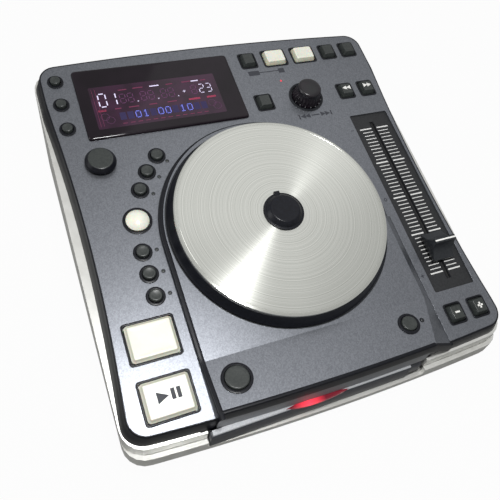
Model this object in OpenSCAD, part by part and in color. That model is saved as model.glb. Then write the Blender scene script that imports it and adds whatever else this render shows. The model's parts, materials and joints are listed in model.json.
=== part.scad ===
// Tabletop disc player for mixing: a wedge-shaped console with a jog platter, a front disc tray,
// a pitch fader and rows of buttons on a sloping panel.
// +X is to the right, +Y to the back, +Z up. The origin is under the middle of the whole, on the table.
// The panel has its own frame: u across, v up the slope, w out of the panel, from the platter's axis.

/* [Case] */
// Width of the silver case
case_w = 217; // [212:1:230]
// Depth of the case, front of the base to the rear wall
case_d = 221.5; // [218:0.5:235]
// How far the rear sockets stand out behind the rear wall
jack_out = 10.5; // [8:0.5:14]
// Slope of the control panel
slope = 12; // [11.5:0.1:12.5]
// Height of the panel's front edge above the table
panel_front_z = 39.1; // [38.6:0.1:42]
// Height of the rubber feet
foot_h = 10; // [6:0.5:14]
// Height of the recessed pan under the case
pan_h = 6; // [5:0.5:8]
// Height of the base band
base_h = 8.5; // [8:0.1:9.5]
// Thickness of the case walls
wall = 2.5; // [1.8:0.1:3]
// Step back from the base band to the band above it
base_step = 2.6; // [1.5:0.1:3.5]
// Radius of the case's upright corners
case_corner_r = 12; // [8:0.5:16]
// Radius of the slight bow of the case's front
case_bow_r = 1600; // [1000:50:3000]
// Recess from the base band to the pan under it
pan_inset = 8; // [5:0.5:10]
// Thickness of the steel pan and rear panel
steel_t = 1.2; // [0.8:0.1:1.5]
// Diameter of a foot
foot_d = 20; // [14:1:26]
// Distance of the feet from the pan's sides
foot_inset = 16; // [13:1:24]

/* [Panel] */
// Thickness of the grey panel sheet
panel_t = 1.2; // [0.8:0.1:1.5]
// Thickness of the black cover under it
cover_t = 2.2; // [1.8:0.1:2.6]
// Depth of the cover's black lip below the panel's surface
lip_h = 7.4; // [7:0.1:8]
// How far the lip stands out round the panel
lip_out = 0.8; // [0.5:0.1:2]
// Width of the case's shoulder beside the panel's widest place
shoulder = 4.2; // [4:0.1:6]
// How much the panel narrows at its waist
waist_depth = 3.9; // [2:0.1:4.5]
// Place of the waist up the slope from the platter's axis
waist_v = 9; // [0:1:20]
// Radius of the waist's curve
waist_r = 950; // [800:10:1200]
// Platter axis to the panel's front edge
front_v = 91.5; // [90:0.5:92]
// Platter axis to the panel's rear edge
rear_v = 127.8; // [127:0.1:129]
// Radius of the bow of the panel's front edge
front_r = 1400; // [1000:50:3000]
// Radius of the bow of the panel's rear edge
rear_r = 1700; // [1200:50:3000]
// Radius of the panel's corners
panel_corner_r = 9; // [6:0.5:12]
// Height of the black collars round the controls
collar_h = 0.6; // [0.3:0.1:1]

/* [Deck] */
// Height of the raised deck above the panel
deck_h = 2.9; // [2.4:0.1:3.2]
// Thickness of the grey deck sheet
deck_t = 1; // [0.8:0.1:1.2]
// Radius of the deck round the platter, and its half-width on the left
deck_r = 65.5; // [64.8:0.1:67]
// Width of the black rim round the deck sheet
deck_rim = 0.6; // [0.4:0.1:1]
// Foot of the deck's right slope, from the platter's axis
deck_right = 67; // [66.5:0.1:68]
// Angle of the deck's right slope
deck_slope = 31; // [28:1:34]
// Place of the crease where the deck turns level, in front of the axis
crease_v = 64; // [63:0.5:66]
// Height of the black lip under the deck's front edge
deck_lip_h = 7.7; // [7:0.1:8.2]

/* [Platter] */
// Radius of the silver platter disc
platter_r = 58.9; // [57:0.1:59.2]
// Height of the platter disc's top above the panel
platter_top = 11.4; // [10:0.1:13]
// Thickness of the platter disc
platter_t = 1.5; // [1:0.1:2]
// Radius of the black skirt's foot
skirt_r = 61.8; // [61:0.1:62]
// Height of the skirt's foot above the panel
skirt_low = 2.4; // [2.3:0.1:3]
// Radius of the deck's recess for the skirt
recess_r = 62.6; // [62.3:0.1:63]
// Radius of the platter's spindle
spindle_r = 3; // [2.5:0.1:4]
// Radius of the spindle's bearing housing
bearing_r = 10; // [8:0.5:12]
// Radius of the bearing's flange
bearing_flange_r = 18; // [15:0.5:20]
// Depth of the bearing housing below the panel
bearing_low = 14; // [13:0.5:15]
// Radius of the slotted encoder disc
encoder_r = 22; // [18:0.5:24]
// Number of slots in the encoder disc
encoder_slots = 24; // [12:1:36]
// Diameter of the hub cap's foot
hub_d = 22; // [18:0.5:26]
// Diameter of the hub cap's top
hub_top_d = 15.5; // [12:0.5:18]
// Height of the hub cap
hub_h = 3.6; // [3:0.1:5]

/* [Tray] */
// Left end of the tray's front, left of the platter's axis
tray_left = 69.2; // [69:0.1:69.4]
// Right end of the tray's front, right of the platter's axis
tray_right = 53.5; // [53.3:0.1:54]
// Height of the tray's front
tray_front_h = 11.9; // [11.5:0.1:12]
// Height of the strip of base band under the tray's front
tray_sill = 4.3; // [4.2:0.1:4.6]
// Thickness of the tray's front behind its face
tray_front_t = 5; // [4:0.1:6]
// Diameter of the disc well
well_d = 120.6; // [120.2:0.1:120.8]
// Depth of the disc well
well_depth = 2; // [1.2:0.1:2.4]
// Diameter of the small disc's well
small_well_d = 80.6; // [80.2:0.1:81]
// Thickness of the tray
tray_t = 5.5; // [5:0.1:5.8]
// Height of the tray's underside above the base band's foot
tray_lift = 8; // [7.8:0.1:8.2]
// How far the tray slides out
tray_travel = 128; // [125:1:130]
// Distance of the disc's centre behind the tray's front face
well_back = 68; // [67:0.5:70]
// Depth of the tray behind its front
tray_d = 147; // [145:1:149]
// Width of the slot that clears the disc drive's spindle and pickup
slot_w = 34; // [32:1:36]
// Length of the red lens on the tray's front
lens_w = 35.3; // [20:0.1:45]
// Width of the red lens from front to back
lens_d = 3.6; // [2:0.1:4]
// Place of the lens's middle, left of the platter's axis
lens_left = 13; // [5:0.5:20]
// Width of the narrow right end of the tray's front
tray_nose = 8; // [5:0.5:10]
// Gap round whatever slides or turns
gap = 0.3; // [0.3:0.05:0.35]
// Radial play of a shaft in its bore
play = 0.05; // [0.02:0.01:0.08]

/* [Disc drive] */
// Module of the loading gear and the tray's rack
gear_module = 1; // [0.9:0.1:1.1]
// Number of teeth of the loading gear
gear_teeth = 16; // [16:16:32]
// Thickness of the loading gear
gear_t = 3; // [2.5:0.1:3.1]
// Distance of the loading gear behind the tray's front face
gear_back = 18; // [16:0.5:20]
// Radius of the pin that the loading gear turns on
gear_pin_r = 1.5; // [1:0.1:2]
// Thickness of the drive's floor
floor_t = 1.6; // [1.2:0.1:1.8]
// Height of the drive's floor above the base band's foot
floor_lift = 2; // [1.8:0.1:2.2]
// Radius of the disc turntable
turntable_r = 14.5; // [12:0.5:15.5]
// Radius of the turntable's motor
motor_r = 11; // [9:0.5:12]
// Radius of the motor's shaft
motor_shaft_r = 1.2; // [1:0.1:1.5]
// Width of the laser sled
sled_w = 26; // [24:0.5:28]
// Depth of the laser sled
sled_d = 18; // [16:0.5:19]
// How far the laser sled travels
sled_travel = 36; // [30:1:36]
// Radius of the sled's guide rods
rod_r = 1.5; // [1.2:0.1:1.8]

/* [Buttons] */
// How far a button travels
press = 1.2; // [0.8:0.1:1.3]
// Radius of the three small round buttons
small_r = 2.8; // [2:0.1:3.2]
// Radius of the tap button's top
tap_r = 6.3; // [5:0.1:7]
// Radius of an effect button
effect_r = 3.3; // [2.5:0.1:3.5]
// Radius of the domed mode button
dome_r = 6.1; // [5:0.1:6.5]
// Radius of the eject button
eject_r = 6; // [5:0.1:6.5]
// Radius of the pitch button
pitch_r = 4.2; // [3:0.1:4.8]
// Width of a round collar
collar_w = 1.3; // [0.8:0.1:1.6]
// Width and depth of the cue button
cue_size = [23.4, 18.8]; // [16:0.1:25]
// Width and depth of the play button
play_size = [23.4, 18.6]; // [16:0.1:25]
// Width and depth of the two lit loop buttons
loop_size = [14.3, 11]; // [10:0.1:15]
// Width and depth of the small square buttons
key_size = [9, 9.8]; // [8:0.1:10]
// Width of the bezel round a square button
bezel_w = 1; // [0.6:0.1:1.2]
// Height of that bezel above the panel
bezel_h = 0.2; // [0.1:0.1:0.8]
// Height of the square buttons above the panel
key_top = 2.6; // [2:0.1:4]
// Height of the large lit buttons above the panel
pad_top = 2; // [1.5:0.1:4]
// Height of the round buttons above the panel
round_top = 2.4; // [1.5:0.1:4]
// Height of the tap button above the panel
tap_top = 5; // [3:0.1:6]

/* [Button places from the left side and the platter axis] */
// Small round buttons: distance from the case's left side
small_in = 11.8; // [11:0.1:13]
// Small round buttons: distances from the panel's rear edge
small_back = [13.6, 30.1, 46.9]; // [10:0.1:60]
// Tap button: distance from the case's left side, and place up the slope
tap_place = [24, 55.9]; // [20:0.1:57]
// Upper effect buttons on an arc: its radius about the platter's axis
effect_arc_r = 76.9; // [75:0.1:80]
// Upper effect buttons: angles to the left of straight up the slope
effect_angles = [44.5, 53.6, 62.8]; // [40:0.1:65]
// Column of the lower effect buttons and the dome, from the case's left side
column_in = 32.1; // [30:0.1:33]
// Dome: place up the slope
dome_v = 17.5; // [15:0.1:20]
// Lower effect buttons: places up the slope
effect_v = [-0.7, -13.1, -25.3]; // [-30:0.1:5]
// Cue button: distance from the case's left side, and place up the slope
cue_place = [24.6, -46]; // [-50:0.1:26]
// Play button: distance from the case's left side, and place up the slope
play_place = [24.6, -74.4]; // [-78:0.1:26]
// Eject button: places on the level part of the deck, left of and in front of the axis
eject_place = [-51.7, -76.1]; // [-80:0.1:-48]
// Pitch button: places on the level part of the deck, right of and in front of the axis
pitch_place = [45, -75.5]; // [-80:0.1:48]
// Small red lamp beside the pitch button, from the button's centre
lamp_off = 8.3; // [7:0.1:9]

/* [Button places from the right side] */
// Rear row: distance from the panel's rear edge
row_back = 14.3; // [14:0.1:16]
// Rear row: distances of its buttons from the case's right side
row_in = [87.1, 68.7, 48.1, 30, 14.8]; // [14:0.1:90]
// Next button: distances from the case's right side and the panel's rear edge
next_place = [87.6, 47.6]; // [45:0.1:90]
// Search buttons: distances from the case's right side
search_in = [30.5, 15]; // [14:0.1:32]
// Search buttons: distance from the panel's rear edge
search_back = 47.6; // [46:0.1:50]
// Pitch bend buttons: place up the slope
bend_v = -76.5; // [-77:0.1:-74]
// Knob: distances from the case's right side and the panel's rear edge
knob_place = [59.2, 47.9]; // [46:0.1:62]
// Radius of the knob's skirt
knob_r = 9.5; // [8:0.1:10]
// Radius of the knob's grip
knob_grip_r = 6.3; // [5:0.1:7]
// Height of the knob's top above the panel
knob_top = 11; // [10:0.1:14]
// Radius of the knob's shaft
knob_shaft_r = 3; // [2.5:0.1:3.2]
// How far the knob presses in
knob_press = 0.8; // [0.5:0.1:0.9]

/* [Display] */
// Width of the display window
window_w = 95.1; // [90:0.1:98]
// Depth of the display window up the slope
window_d = 48.8; // [44:0.1:50]
// Left side of the case to the window's left edge
window_in = 21.2; // [20:0.1:22]
// Rear edge of the panel to the window's rear edge
window_back = 8.1; // [7:0.1:9]
// Height of the window's face above the panel
window_h = 1.5; // [1:0.1:2]
// Width of the display tube behind the window
tube_w = 79; // [76:0.1:82]
// Depth of the display tube
tube_d = 32; // [29:0.1:34]

/* [Fader] */
// Case's right side to the fader's slot
fader_in = 22.8; // [22:0.1:24]
// Travel of the fader
fader_travel = 100; // [99:1:100]
// Middle of the fader's travel, up the slope
fader_mid_v = -1; // [-2:0.1:0]
// Place of the fader's cap up the slope
fader_v = -37.3; // [-50:0.1:48]
// Width of the recessed fader plate
fader_plate_w = 26.8; // [24:0.1:28]
// Length of the recessed fader plate
fader_plate_d = 123.2; // [122:0.1:125]
// Depth of the fader plate's face below the panel
fader_recess = 0.9; // [0.6:0.1:1.1]
// Width of the fader's slot
fader_slot_w = 2.4; // [2:0.1:3]
// Thickness of the fader's lever
lever_t = 1.4; // [1:0.1:1.5]
// Width of the fader's lever along the slot
lever_w = 6; // [5:0.1:7]
// Width of the fader's cap across the slot
fader_cap_w = 13.7; // [12:0.1:16]
// Length of the fader's cap along the slot
fader_cap_d = 17; // [14:0.1:20]
// Height of the fader's cap above the panel
fader_cap_top = 12; // [10:0.1:14]
// Width of the fader's metal body
fader_body_w = 15; // [13:0.1:15.5]
// Depth of the fader's metal body under the cover
fader_body_h = 13; // [11:0.1:13.5]

/* [Boards and rear] */
// Thickness of the circuit boards
board_t = 1.6; // [1.2:0.1:1.8]
// Depth of the main board from front to back
main_board_d = 40; // [36:1:41]
// Height of the rear panel
rear_panel_h = 42; // [36:1:44]
// Radius of a socket barrel
jack_r = 4.2; // [3.5:0.1:4.5]
// Places of the socket barrels from the middle
jack_x = [20, 34, 52, 66]; // [15:1:75]
// Height of the sockets and the power button above the base band
jack_lift = 22; // [18:1:26]
// Width, height and depth of the power inlet's socket
inlet_size = [24, 16.4, 16]; // [14:0.1:28]
// Place of the power inlet, left of the middle
inlet_left = 45; // [42:1:52]
// Place of the power button, left of the middle
power_left = 80; // [74:1:84]
// Radius of the power button
power_r = 4.5; // [4:0.1:5]
// How far the power button presses in
power_press = 2.5; // [1.5:0.1:2.8]

/* [Hidden] */
$fn = 64;

// Colours
silver = "#d9dad7";
panel_grey = "#8b8e96";
charcoal = "#26282c";
steel = "#9da0a3";
rubber_black = "#1b1b1c";
cap_grey = "#3b3f40";
milky = "#e9ecdf";
board_green = "#24603c";
brass_yellow = "#c8a356";
lens_red = "#d92638";
white_plastic = "#e8e8e6";

// Far enough to reach across the whole object
reach = 300;
// Steps of the drawn curves
edge_steps = 6;
corner_steps = 5;
side_steps = 12;
arc_steps = 3;
lens_steps = 10;

// The case, from the table up
total_d = case_d + jack_out;
base_front = -total_d / 2;
rear_wall = base_front + case_d;
base_z = foot_h + pan_h;
mid_z = base_z + base_h;
axis_y = base_front + base_step + front_v * cos(slope) + 2.9;
axis_z = panel_front_z + front_v * sin(slope);
flange_in = 9.2;
flange_h = 2;
case_left = -case_w / 2;
case_right = case_w / 2;

// The panel's outline
panel_hw = case_w / 2 - shoulder;
waist_hw = panel_hw - waist_depth;

// Levels along w, out of the panel
cover_low = -panel_t - cover_t;
button_flange_t = 1.2;
button_flange_out = 0.9;
button_flange_top = cover_low - gap;
button_low = button_flange_top - button_flange_t;
switch_top = button_low - press - 0.1;
switch_h = 1.8;
switch_w = 4;
board_top = switch_top - switch_h;

// The level part of the deck
facet_z = axis_z - crease_v * sin(slope) + deck_h * cos(slope);
facet_shell = deck_t + 2;
deck_corner_v = 12;
deck_under = deck_h - facet_shell;
deck_front_y = axis_y - front_v * cos(slope) - deck_h * sin(slope) - 0.7;
deck_lip_z = facet_z - deck_lip_h;
facet_board_top = facet_z - facet_shell - gap - button_flange_t - press - 0.1 - switch_h;

// The tray and the disc drive
tray_face_y = base_front + gap;
tray_front_z = base_z + tray_sill;
tray_top_z = tray_front_z + tray_front_h;
tray_y = tray_face_y + tray_front_t;
tray_z = base_z + tray_lift;
tray_mid_x = (tray_right - tray_left) / 2;
tray_plate_w = tray_right + tray_left;
well_y = tray_face_y + well_back;
gear_r = gear_module * gear_teeth / 2;
tooth_pitch = PI * gear_module;
gear_y = tray_face_y + gear_back;
rack_x = -tray_left + 7.2;
rack_bar = 3.4;
rack_h = tray_z - base_z - floor_lift - floor_t - 1;
gear_x = rack_x + gear_r;
rail_t = 3.4;
rail_front = tray_face_y + 8;
rail_back = tray_y + tray_d + 12;
drive_floor_z = base_z + floor_lift;
drive_floor_top = drive_floor_z + floor_t;
turntable_z = tray_z + 0.9;
turntable_t = 1.8;
sled_y = well_y + 23 - sled_d / 2 + 1;
sled_z = drive_floor_top + gap;
sled_h = 5.2;
rod_x = 9.5;
rod_z = sled_z + sled_h / 2;

// Places of the controls on the panel
small_at = [for (back = small_back) [case_left + small_in, rear_v - back]];
tap_at = [case_left + tap_place[0], tap_place[1]];
effect_at = concat(
    [for (a = effect_angles) [-effect_arc_r * sin(a), effect_arc_r * cos(a)]],
    [for (v = effect_v) [case_left + column_in, v]]
);
dome_at = [case_left + column_in + 2, dome_v];
cue_at = [case_left + cue_place[0], cue_place[1]];
play_at = [case_left + play_place[0], play_place[1]];
row_at = [for (in = row_in) [case_right - in, rear_v - row_back]];
next_at = [case_right - next_place[0], rear_v - next_place[1]];
search_at = [for (in = search_in) [case_right - in, rear_v - search_back]];
bend_at = [for (in = search_in) [case_right - in, bend_v]];
knob_at = [case_right - knob_place[0], rear_v - knob_place[1]];
window_at = [case_left + window_in + window_w / 2, rear_v - window_back - window_d / 2];
fader_x = case_right - fader_in;
fader_slot_d = fader_travel + lever_w + 4.8;
fader_body_d = fader_slot_d + 12;

// Round controls as place and radius, square ones as place and size
ROUND = concat(
    [for (at = small_at) [at, small_r]],
    [[tap_at, tap_r], [dome_at, dome_r]],
    [for (at = effect_at) [at, effect_r]]
);
SQUARE = concat(
    [[cue_at, cue_size], [play_at, play_size], [row_at[1], loop_size], [row_at[2], loop_size]],
    [for (at = [row_at[0], row_at[3], row_at[4], next_at]) [at, key_size]],
    [for (at = concat(search_at, bend_at)) [at, key_size]]
);
FACET = [[eject_place, eject_r], [pitch_place, pitch_r]];
ALL_AT = concat([for (c = ROUND) c[0]], [for (c = SQUARE) c[0]]);

// Posts that carry the control board under the cover
POSTS = [
    [case_left + 18.5, 67.5], [case_left + 11.5, -29], [window_at[0] + window_w / 2 + 4, 67.5],
    [case_right - 11.5, 67.5], [fader_x - 17.5, 34], [fader_x - 17.5, -66]
];
post_r = 2.2;

// The panel's outline as functions of the place on it
function side_x(v) = min(panel_hw, waist_hw + pow(v - waist_v, 2) / (2 * waist_r));
function front_edge(x) = -front_v + x * x / (2 * front_r);
function rear_edge(x) = rear_v - x * x / (2 * rear_r);
function arc(cx, cy, r, from) =
    [for (k = [0:corner_steps]) let (a = from + 90 * k / corner_steps) [cx + r * cos(a), cy + r * sin(a)]];
function half_panel(grow) =
    let (
        r = panel_corner_r + grow,
        cx = panel_hw + grow - r,
        low = front_edge(cx) - grow + r,
        high = rear_edge(cx) + grow - r
    )
    concat(
        [for (k = [0:edge_steps - 1]) let (x = cx * k / edge_steps) [x, front_edge(x) - grow]],
        arc(cx, low, r, -90),
        [for (k = [1:side_steps - 1]) let (v = low + (high - low) * k / side_steps) [side_x(v) + grow, v]],
        arc(cx, high, r, 0),
        [for (k = [edge_steps - 1:-1:0]) let (x = cx * k / edge_steps) [x, rear_edge(x) + grow]]
    );
function both_sides(half) = concat(half, [for (k = [len(half) - 2:-1:1]) [-half[k][0], half[k][1]]]);
function panel_outline(grow) = both_sides(half_panel(grow));
// The same outline seen from above
function panel_plan(grow) = [for (p = panel_outline(grow)) [p[0], axis_y + p[1] * cos(slope)]];
// The case's outline from above, its front at front_at and drawn in by inset
function half_case(front_at, inset) =
    let (
        r = case_corner_r - inset,
        cx = case_w / 2 - case_corner_r,
        low = front_at + inset + cx * cx / (2 * case_bow_r) + r,
        high = rear_wall - inset - r
    )
    concat(
        [for (k = [0:edge_steps - 1]) let (x = cx * k / edge_steps)
            [x, front_at + inset + x * x / (2 * case_bow_r)]],
        arc(cx, low, r, -90),
        arc(cx, high, r, 0),
        [[0, rear_wall - inset]]
    );
function case_plan(front_at, inset) = both_sides(half_case(front_at, inset));
// A rectangle with round corners, about its middle
function rounded(w, d, r) = [
    for (c = [[1, 1, 0], [-1, 1, 90], [-1, -1, 180], [1, -1, 270]]) for (k = [0:arc_steps])
        let (a = c[2] + 90 * k / arc_steps) [c[0] * (w / 2 - r) + r * cos(a), c[1] * (d / 2 - r) + r * sin(a)]
];

module on_panel() translate([0, axis_y, axis_z]) rotate([slope, 0, 0]) children();
module at_uv(at) on_panel() translate([at[0], at[1], 0]) children();
// Everything between two levels along w
module slab(low, high) on_panel() translate([-reach, -reach, low]) cube([2 * reach, 2 * reach, high - low]);
// An upright prism over an outline
module prism(points, low, high) translate([0, 0, low]) linear_extrude(high - low) polygon(points);
// A disc or ring along w or z
module disc(r, low, high) translate([0, 0, low]) cylinder(r = r, h = high - low);
// A block by its limits
module block(x, y, z) translate([x[0], y[0], z[0]]) cube([x[1] - x[0], y[1] - y[0], z[1] - z[0]]);
// A rounded tablet between two levels
module tablet(size, r, low, high)
    translate([0, 0, low]) linear_extrude(high - low) polygon(rounded(size[0], size[1], r));

// Case ------------------------------------------------------------------------------------------

module bottom_plate() color(steel) difference() {
    union() {
        prism(case_plan(base_front, pan_inset), foot_h, foot_h + steel_t);
        difference() {
            prism(case_plan(base_front, pan_inset), foot_h, base_z);
            prism(case_plan(base_front, pan_inset + steel_t), foot_h - 1, base_z + 1);
        }
    }
    for (at = screw_at) translate([at[0], at[1], 0]) disc(screw_r + 0.2, foot_h - 1, foot_h + steel_t + 1);
}

foot_x = case_w / 2 - pan_inset - foot_inset;
foot_y = [base_front + pan_inset + foot_inset + 2, rear_wall - pan_inset - foot_inset];
module feet() color(rubber_black)
    for (x = [-foot_x, foot_x], y = foot_y) translate([x, y, 0]) {
        disc(foot_d / 2, 1, foot_h);
        cylinder(r1 = foot_d / 2 - 1, r2 = foot_d / 2, h = 1);
    }

screw_r = 1.5;
screw_boss_r = 3.6;
screw_end = 46;
screw_x = case_w / 2 - pan_inset - steel_t - screw_boss_r - 0.6;
screw_at = [
    for (x = [-screw_x, screw_x])
        for (y = [base_front + screw_end, (base_front + rear_wall) / 2, rear_wall - screw_end]) [x, y]
];
module case_screws() color(steel) {
    for (at = screw_at) translate([at[0], at[1], 0]) {
        disc(screw_r, foot_h, foot_h + 9);
        disc(2.8, foot_h - 1.8, foot_h);
    }
    for (x = [-1, 1], z = [3, rear_panel_h - 3])
        translate([x * (rear_panel_w / 2 - 3), rear_wall - steel_t, mid_z + 1.5 + z]) rotate([-90, 0, 0]) {
            disc(screw_r, -1.2, steel_t);
            disc(2.8, steel_t, steel_t + 1.6);
        }
}

// Box that the tray's front and its opening take out of the case
module tray_mouth(low, high, side)
    block([-tray_left - side, tray_right + side], [base_front - 10, tray_face_y + 20], [low, high]);

module lower_case() color(silver) difference() {
    union() {
        difference() {
            prism(case_plan(base_front, 0), base_z, mid_z);
            prism(case_plan(base_front, wall), base_z + flange_h, mid_z + 1);
            prism(case_plan(base_front, case_corner_r - 0.5), base_z - 1, mid_z + 1);
        }
        for (at = screw_at)
            translate([at[0], at[1], 0]) disc(screw_boss_r, foot_h + steel_t, base_z + flange_h);
    }
    tray_mouth(tray_front_z - gap, mid_z + 1, 0.5);
    for (at = screw_at) translate([at[0], at[1], 0]) disc(screw_r, foot_h, foot_h + 9);
}

rear_panel_w = 190;
module side_case() color(silver) difference() {
    intersection() {
        union() {
            difference() {
                prism(case_plan(base_front + base_step, 0), mid_z, mid_z + reach);
                prism(case_plan(base_front + base_step, wall), mid_z - 1, mid_z + reach + 1);
            }
            intersection() {
                slab(-lip_h - flange_h, -lip_h);
                difference() {
                    prism(case_plan(base_front + base_step, 0), mid_z, mid_z + reach);
                    prism(case_plan(base_front + base_step, flange_in), mid_z - 1, mid_z + reach + 1);
                }
            }
        }
        slab(-reach, -lip_h);
    }
    tray_mouth(mid_z - 1, mid_z + reach, 0.5);
    block(
        [-tray_left - rail_t - 0.6, tray_right + rail_t + 0.6], [tray_face_y + 5, 0],
        [mid_z - 1, rail_top + gap]
    );
    translate([0, rear_wall - steel_t, mid_z + 1.5])
        block([-rear_panel_w / 2, rear_panel_w / 2], [0, 5], [0, rear_panel_h]);
    translate([0, rear_wall - 10, mid_z + 1.5])
        block([-rear_panel_w / 2 + 6, rear_panel_w / 2 - 6], [0, 20], [4, rear_panel_h - 4]);
    for (x = [-1, 1], z = [3, rear_panel_h - 3])
        translate([x * (rear_panel_w / 2 - 3), rear_wall - 6, mid_z + 1.5 + z])
            rotate([-90, 0, 0]) disc(screw_r, 0, 8);
}

// The deck's ground plan: a disc round the platter and a block to the front
module deck_ground(inset, low, high) {
    disc(deck_r - inset, low, high);
    block([-deck_r + inset, deck_right], [-front_v - 10, -deck_corner_v], [low, high]);
    block([-deck_r + inset, 0], [-deck_corner_v - 1, 0], [low, high]);
}

// The deck's solid below its surfaces, lowered by drop and drawn in by inset
module deck_form(drop, inset, low = cover_low) intersection() {
    union() {
        slab(low, deck_h - drop);
        translate([-reach, -reach, 0]) cube([2 * reach, 2 * reach, facet_z - drop]);
    }
    on_panel() translate([deck_right, 0, -drop]) rotate([0, deck_slope, 0])
        translate([-2 * reach, -reach, -2 * reach]) cube([3 * reach, 2 * reach, 2 * reach]);
    slab(low, reach);
    on_panel() deck_ground(inset, low, 20);
    prism([
        for (k = [-edge_steps:edge_steps]) let (x = deck_right * k / edge_steps * 1.2)
            [x, deck_front_y + inset + x * x / (2 * case_bow_r)],
        [deck_right * 1.2, axis_y + 80], [-deck_right * 1.2, axis_y + 80]
    ], 0, 100);
}

// The deck sheet: the deck's top skin, open for the platter's skirt
module deck_sheet() difference() {
    deck_form(0, deck_rim);
    deck_form(deck_t, deck_rim - 0.1);
    slab(-reach, 0.3);
    on_panel() disc(recess_r, deck_h - deck_t - 0.1, 20);
    facet_holes(collar_w);
}

module facet_holes(grow) {
    for (c = FACET) facet_at(c[0]) disc(c[1] + gap + grow, -10, 5);
    facet_at(pitch_place) translate([lamp_off, 0, 0]) disc(1.3, -10, 5);
}
// A place on the deck's level part, given in the panel's u and v
module facet_at(at) translate([at[0], axis_y + at[1] * cos(slope) - 1.2, facet_z]) children();

// The cover's flat sheet and its lip
module cover_sheet() {
    intersection() {
        slab(cover_low, -panel_t);
        prism(panel_plan(0), 0, reach);
    }
    intersection() {
        slab(-lip_h, -panel_t);
        difference() {
            prism(panel_plan(lip_out), 0, reach);
            prism(panel_plan(-1), -1, reach + 1);
        }
    }
}

module top_cover() color(charcoal) difference() {
    union() {
        difference() {
            union() {
                cover_sheet();
                deck_form(0, 0);
            }
            deck_form(facet_shell, 2, cover_low - 1);
            deck_sheet();
            // the recess for the platter's skirt
            on_panel() disc(recess_r, deck_h - deck_t, 20);
        }
        front_wall();
        for (c = ROUND) at_uv(c[0]) disc(c[1] + gap + collar_w, cover_low, collar_h);
        for (c = SQUARE) at_uv(c[0])
            tablet([c[1][0] + 2 * (gap + bezel_w), c[1][1] + 2 * (gap + bezel_w)], 1.6, cover_low, bezel_h);
        for (c = FACET) facet_at(c[0]) disc(c[1] + gap + collar_w, -facet_shell, collar_h);
        at_uv(knob_at) disc(knob_r + gap + collar_w, cover_low, collar_h);
        for (at = POSTS) at_uv(at) disc(post_r, board_top, cover_low + 0.1);
        facet_posts();
    }
    for (c = ROUND) at_uv(c[0]) disc(c[1] + gap, -lip_h, 10);
    for (c = SQUARE) at_uv(c[0]) tablet([c[1][0] + 2 * gap, c[1][1] + 2 * gap], 1.2, -lip_h, 10);
    for (c = FACET) facet_at(c[0]) disc(c[1] + gap, -10, 5);
    facet_at(pitch_place) translate([lamp_off, 0, 0]) disc(1.1, -10, 5);
    at_uv(knob_at) disc(knob_r + gap, -panel_t, 10);
    at_uv(knob_at) disc(knob_shaft_r + 0.4, -lip_h, 10);
    at_uv(window_at) translate([-1, -3.5, 0]) tablet([tube_w + 0.4, tube_d + 0.4], 1, -lip_h, 10);
    on_panel() translate([fader_x, fader_mid_v, 0]) {
        tablet([fader_plate_w, fader_plate_d], 1, -panel_t - 1, 10);
        tablet([fader_slot_w, fader_slot_d], 1, -lip_h, 10);
    }
    on_panel() disc(bearing_r - 1, -lip_h, 10);
    tray_mouth(0, tray_top_z + gap, 0.5);
}

// The wall above the tray: the deck's black lip and the set-back strip under it
module front_wall() {
    intersection() {
        difference() {
            union() {
                bowed(deck_front_y, 2.5, -deck_r, deck_right, deck_lip_z, facet_z);
                bowed(
                    deck_front_y + 1, 2.5, -tray_left - 0.5, deck_right, tray_top_z + gap,
                    deck_lip_z + 0.1
                );
            }
            deck_sheet();
            // the left wing's sheet, which the strip stops under
            on_panel() block([-reach, -deck_r], [-reach, 0], [-panel_t, reach]);
        }
        on_panel() translate([deck_right, 0, 0]) rotate([0, deck_slope, 0])
            translate([-2 * reach, -reach, -2 * reach]) cube([3 * reach, 2 * reach, 2 * reach]);
    }
}
// An upright strip that follows the front's bow
module bowed(y, t, x0, x1, low, high) prism(concat(
    [for (k = [0:edge_steps * 2])
        let (x = x0 + (x1 - x0) * k / (edge_steps * 2)) [x, y + x * x / (2 * case_bow_r)]],
    [for (k = [edge_steps * 2:-1:0])
        let (x = x0 + (x1 - x0) * k / (edge_steps * 2)) [x, y + t + x * x / (2 * case_bow_r)]]
), low, high);

// Posts that hang the front switch board under the deck's level part
facet_post_x = [eject_place[0] + eject_r + 6, 0, pitch_place[0] - pitch_r - 6];
module facet_posts()
    for (x = facet_post_x)
        translate([x, axis_y + eject_place[1] * cos(slope), 0])
            disc(post_r, facet_board_top, facet_z - facet_shell + 0.1);

module panel_plate() color(panel_grey) difference() {
    intersection() {
        slab(-panel_t, 0);
        prism(panel_plan(0), 0, reach);
    }
    on_panel() deck_ground(0, -5, 5);
    for (c = ROUND) at_uv(c[0]) disc(c[1] + gap + collar_w, -5, 5);
    for (c = SQUARE) at_uv(c[0])
        tablet([c[1][0] + 2 * (gap + bezel_w), c[1][1] + 2 * (gap + bezel_w)], 1.6, -5, 5);
    at_uv(knob_at) disc(knob_r + gap + collar_w, -5, 5);
    at_uv(window_at) tablet([window_w, window_d], 1.5, -5, 5);
    on_panel() translate([fader_x, fader_mid_v, 0]) tablet([fader_plate_w, fader_plate_d], 1, -5, 5);
}

module deck_plate() color(panel_grey) deck_sheet();

module display_window() color(charcoal) at_uv(window_at)
    tablet([window_w, window_d], 1.5, -panel_t, window_h);

module display_module() color(charcoal) at_uv(window_at) translate([-1, -3.5, 0]) {
    tablet([tube_w, tube_d], 0.8, board_top + 1.6, -panel_t - 0.1);
    tablet([tube_w - 6, tube_d - 6], 0.8, board_top, board_top + 1.6);
}

module fader_plate() color(charcoal) on_panel() translate([fader_x, fader_mid_v, 0]) difference() {
    tablet([fader_plate_w, fader_plate_d], 1, -panel_t - 1, -fader_recess);
    tablet([fader_slot_w, fader_slot_d], 1, -10, 10);
}

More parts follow.
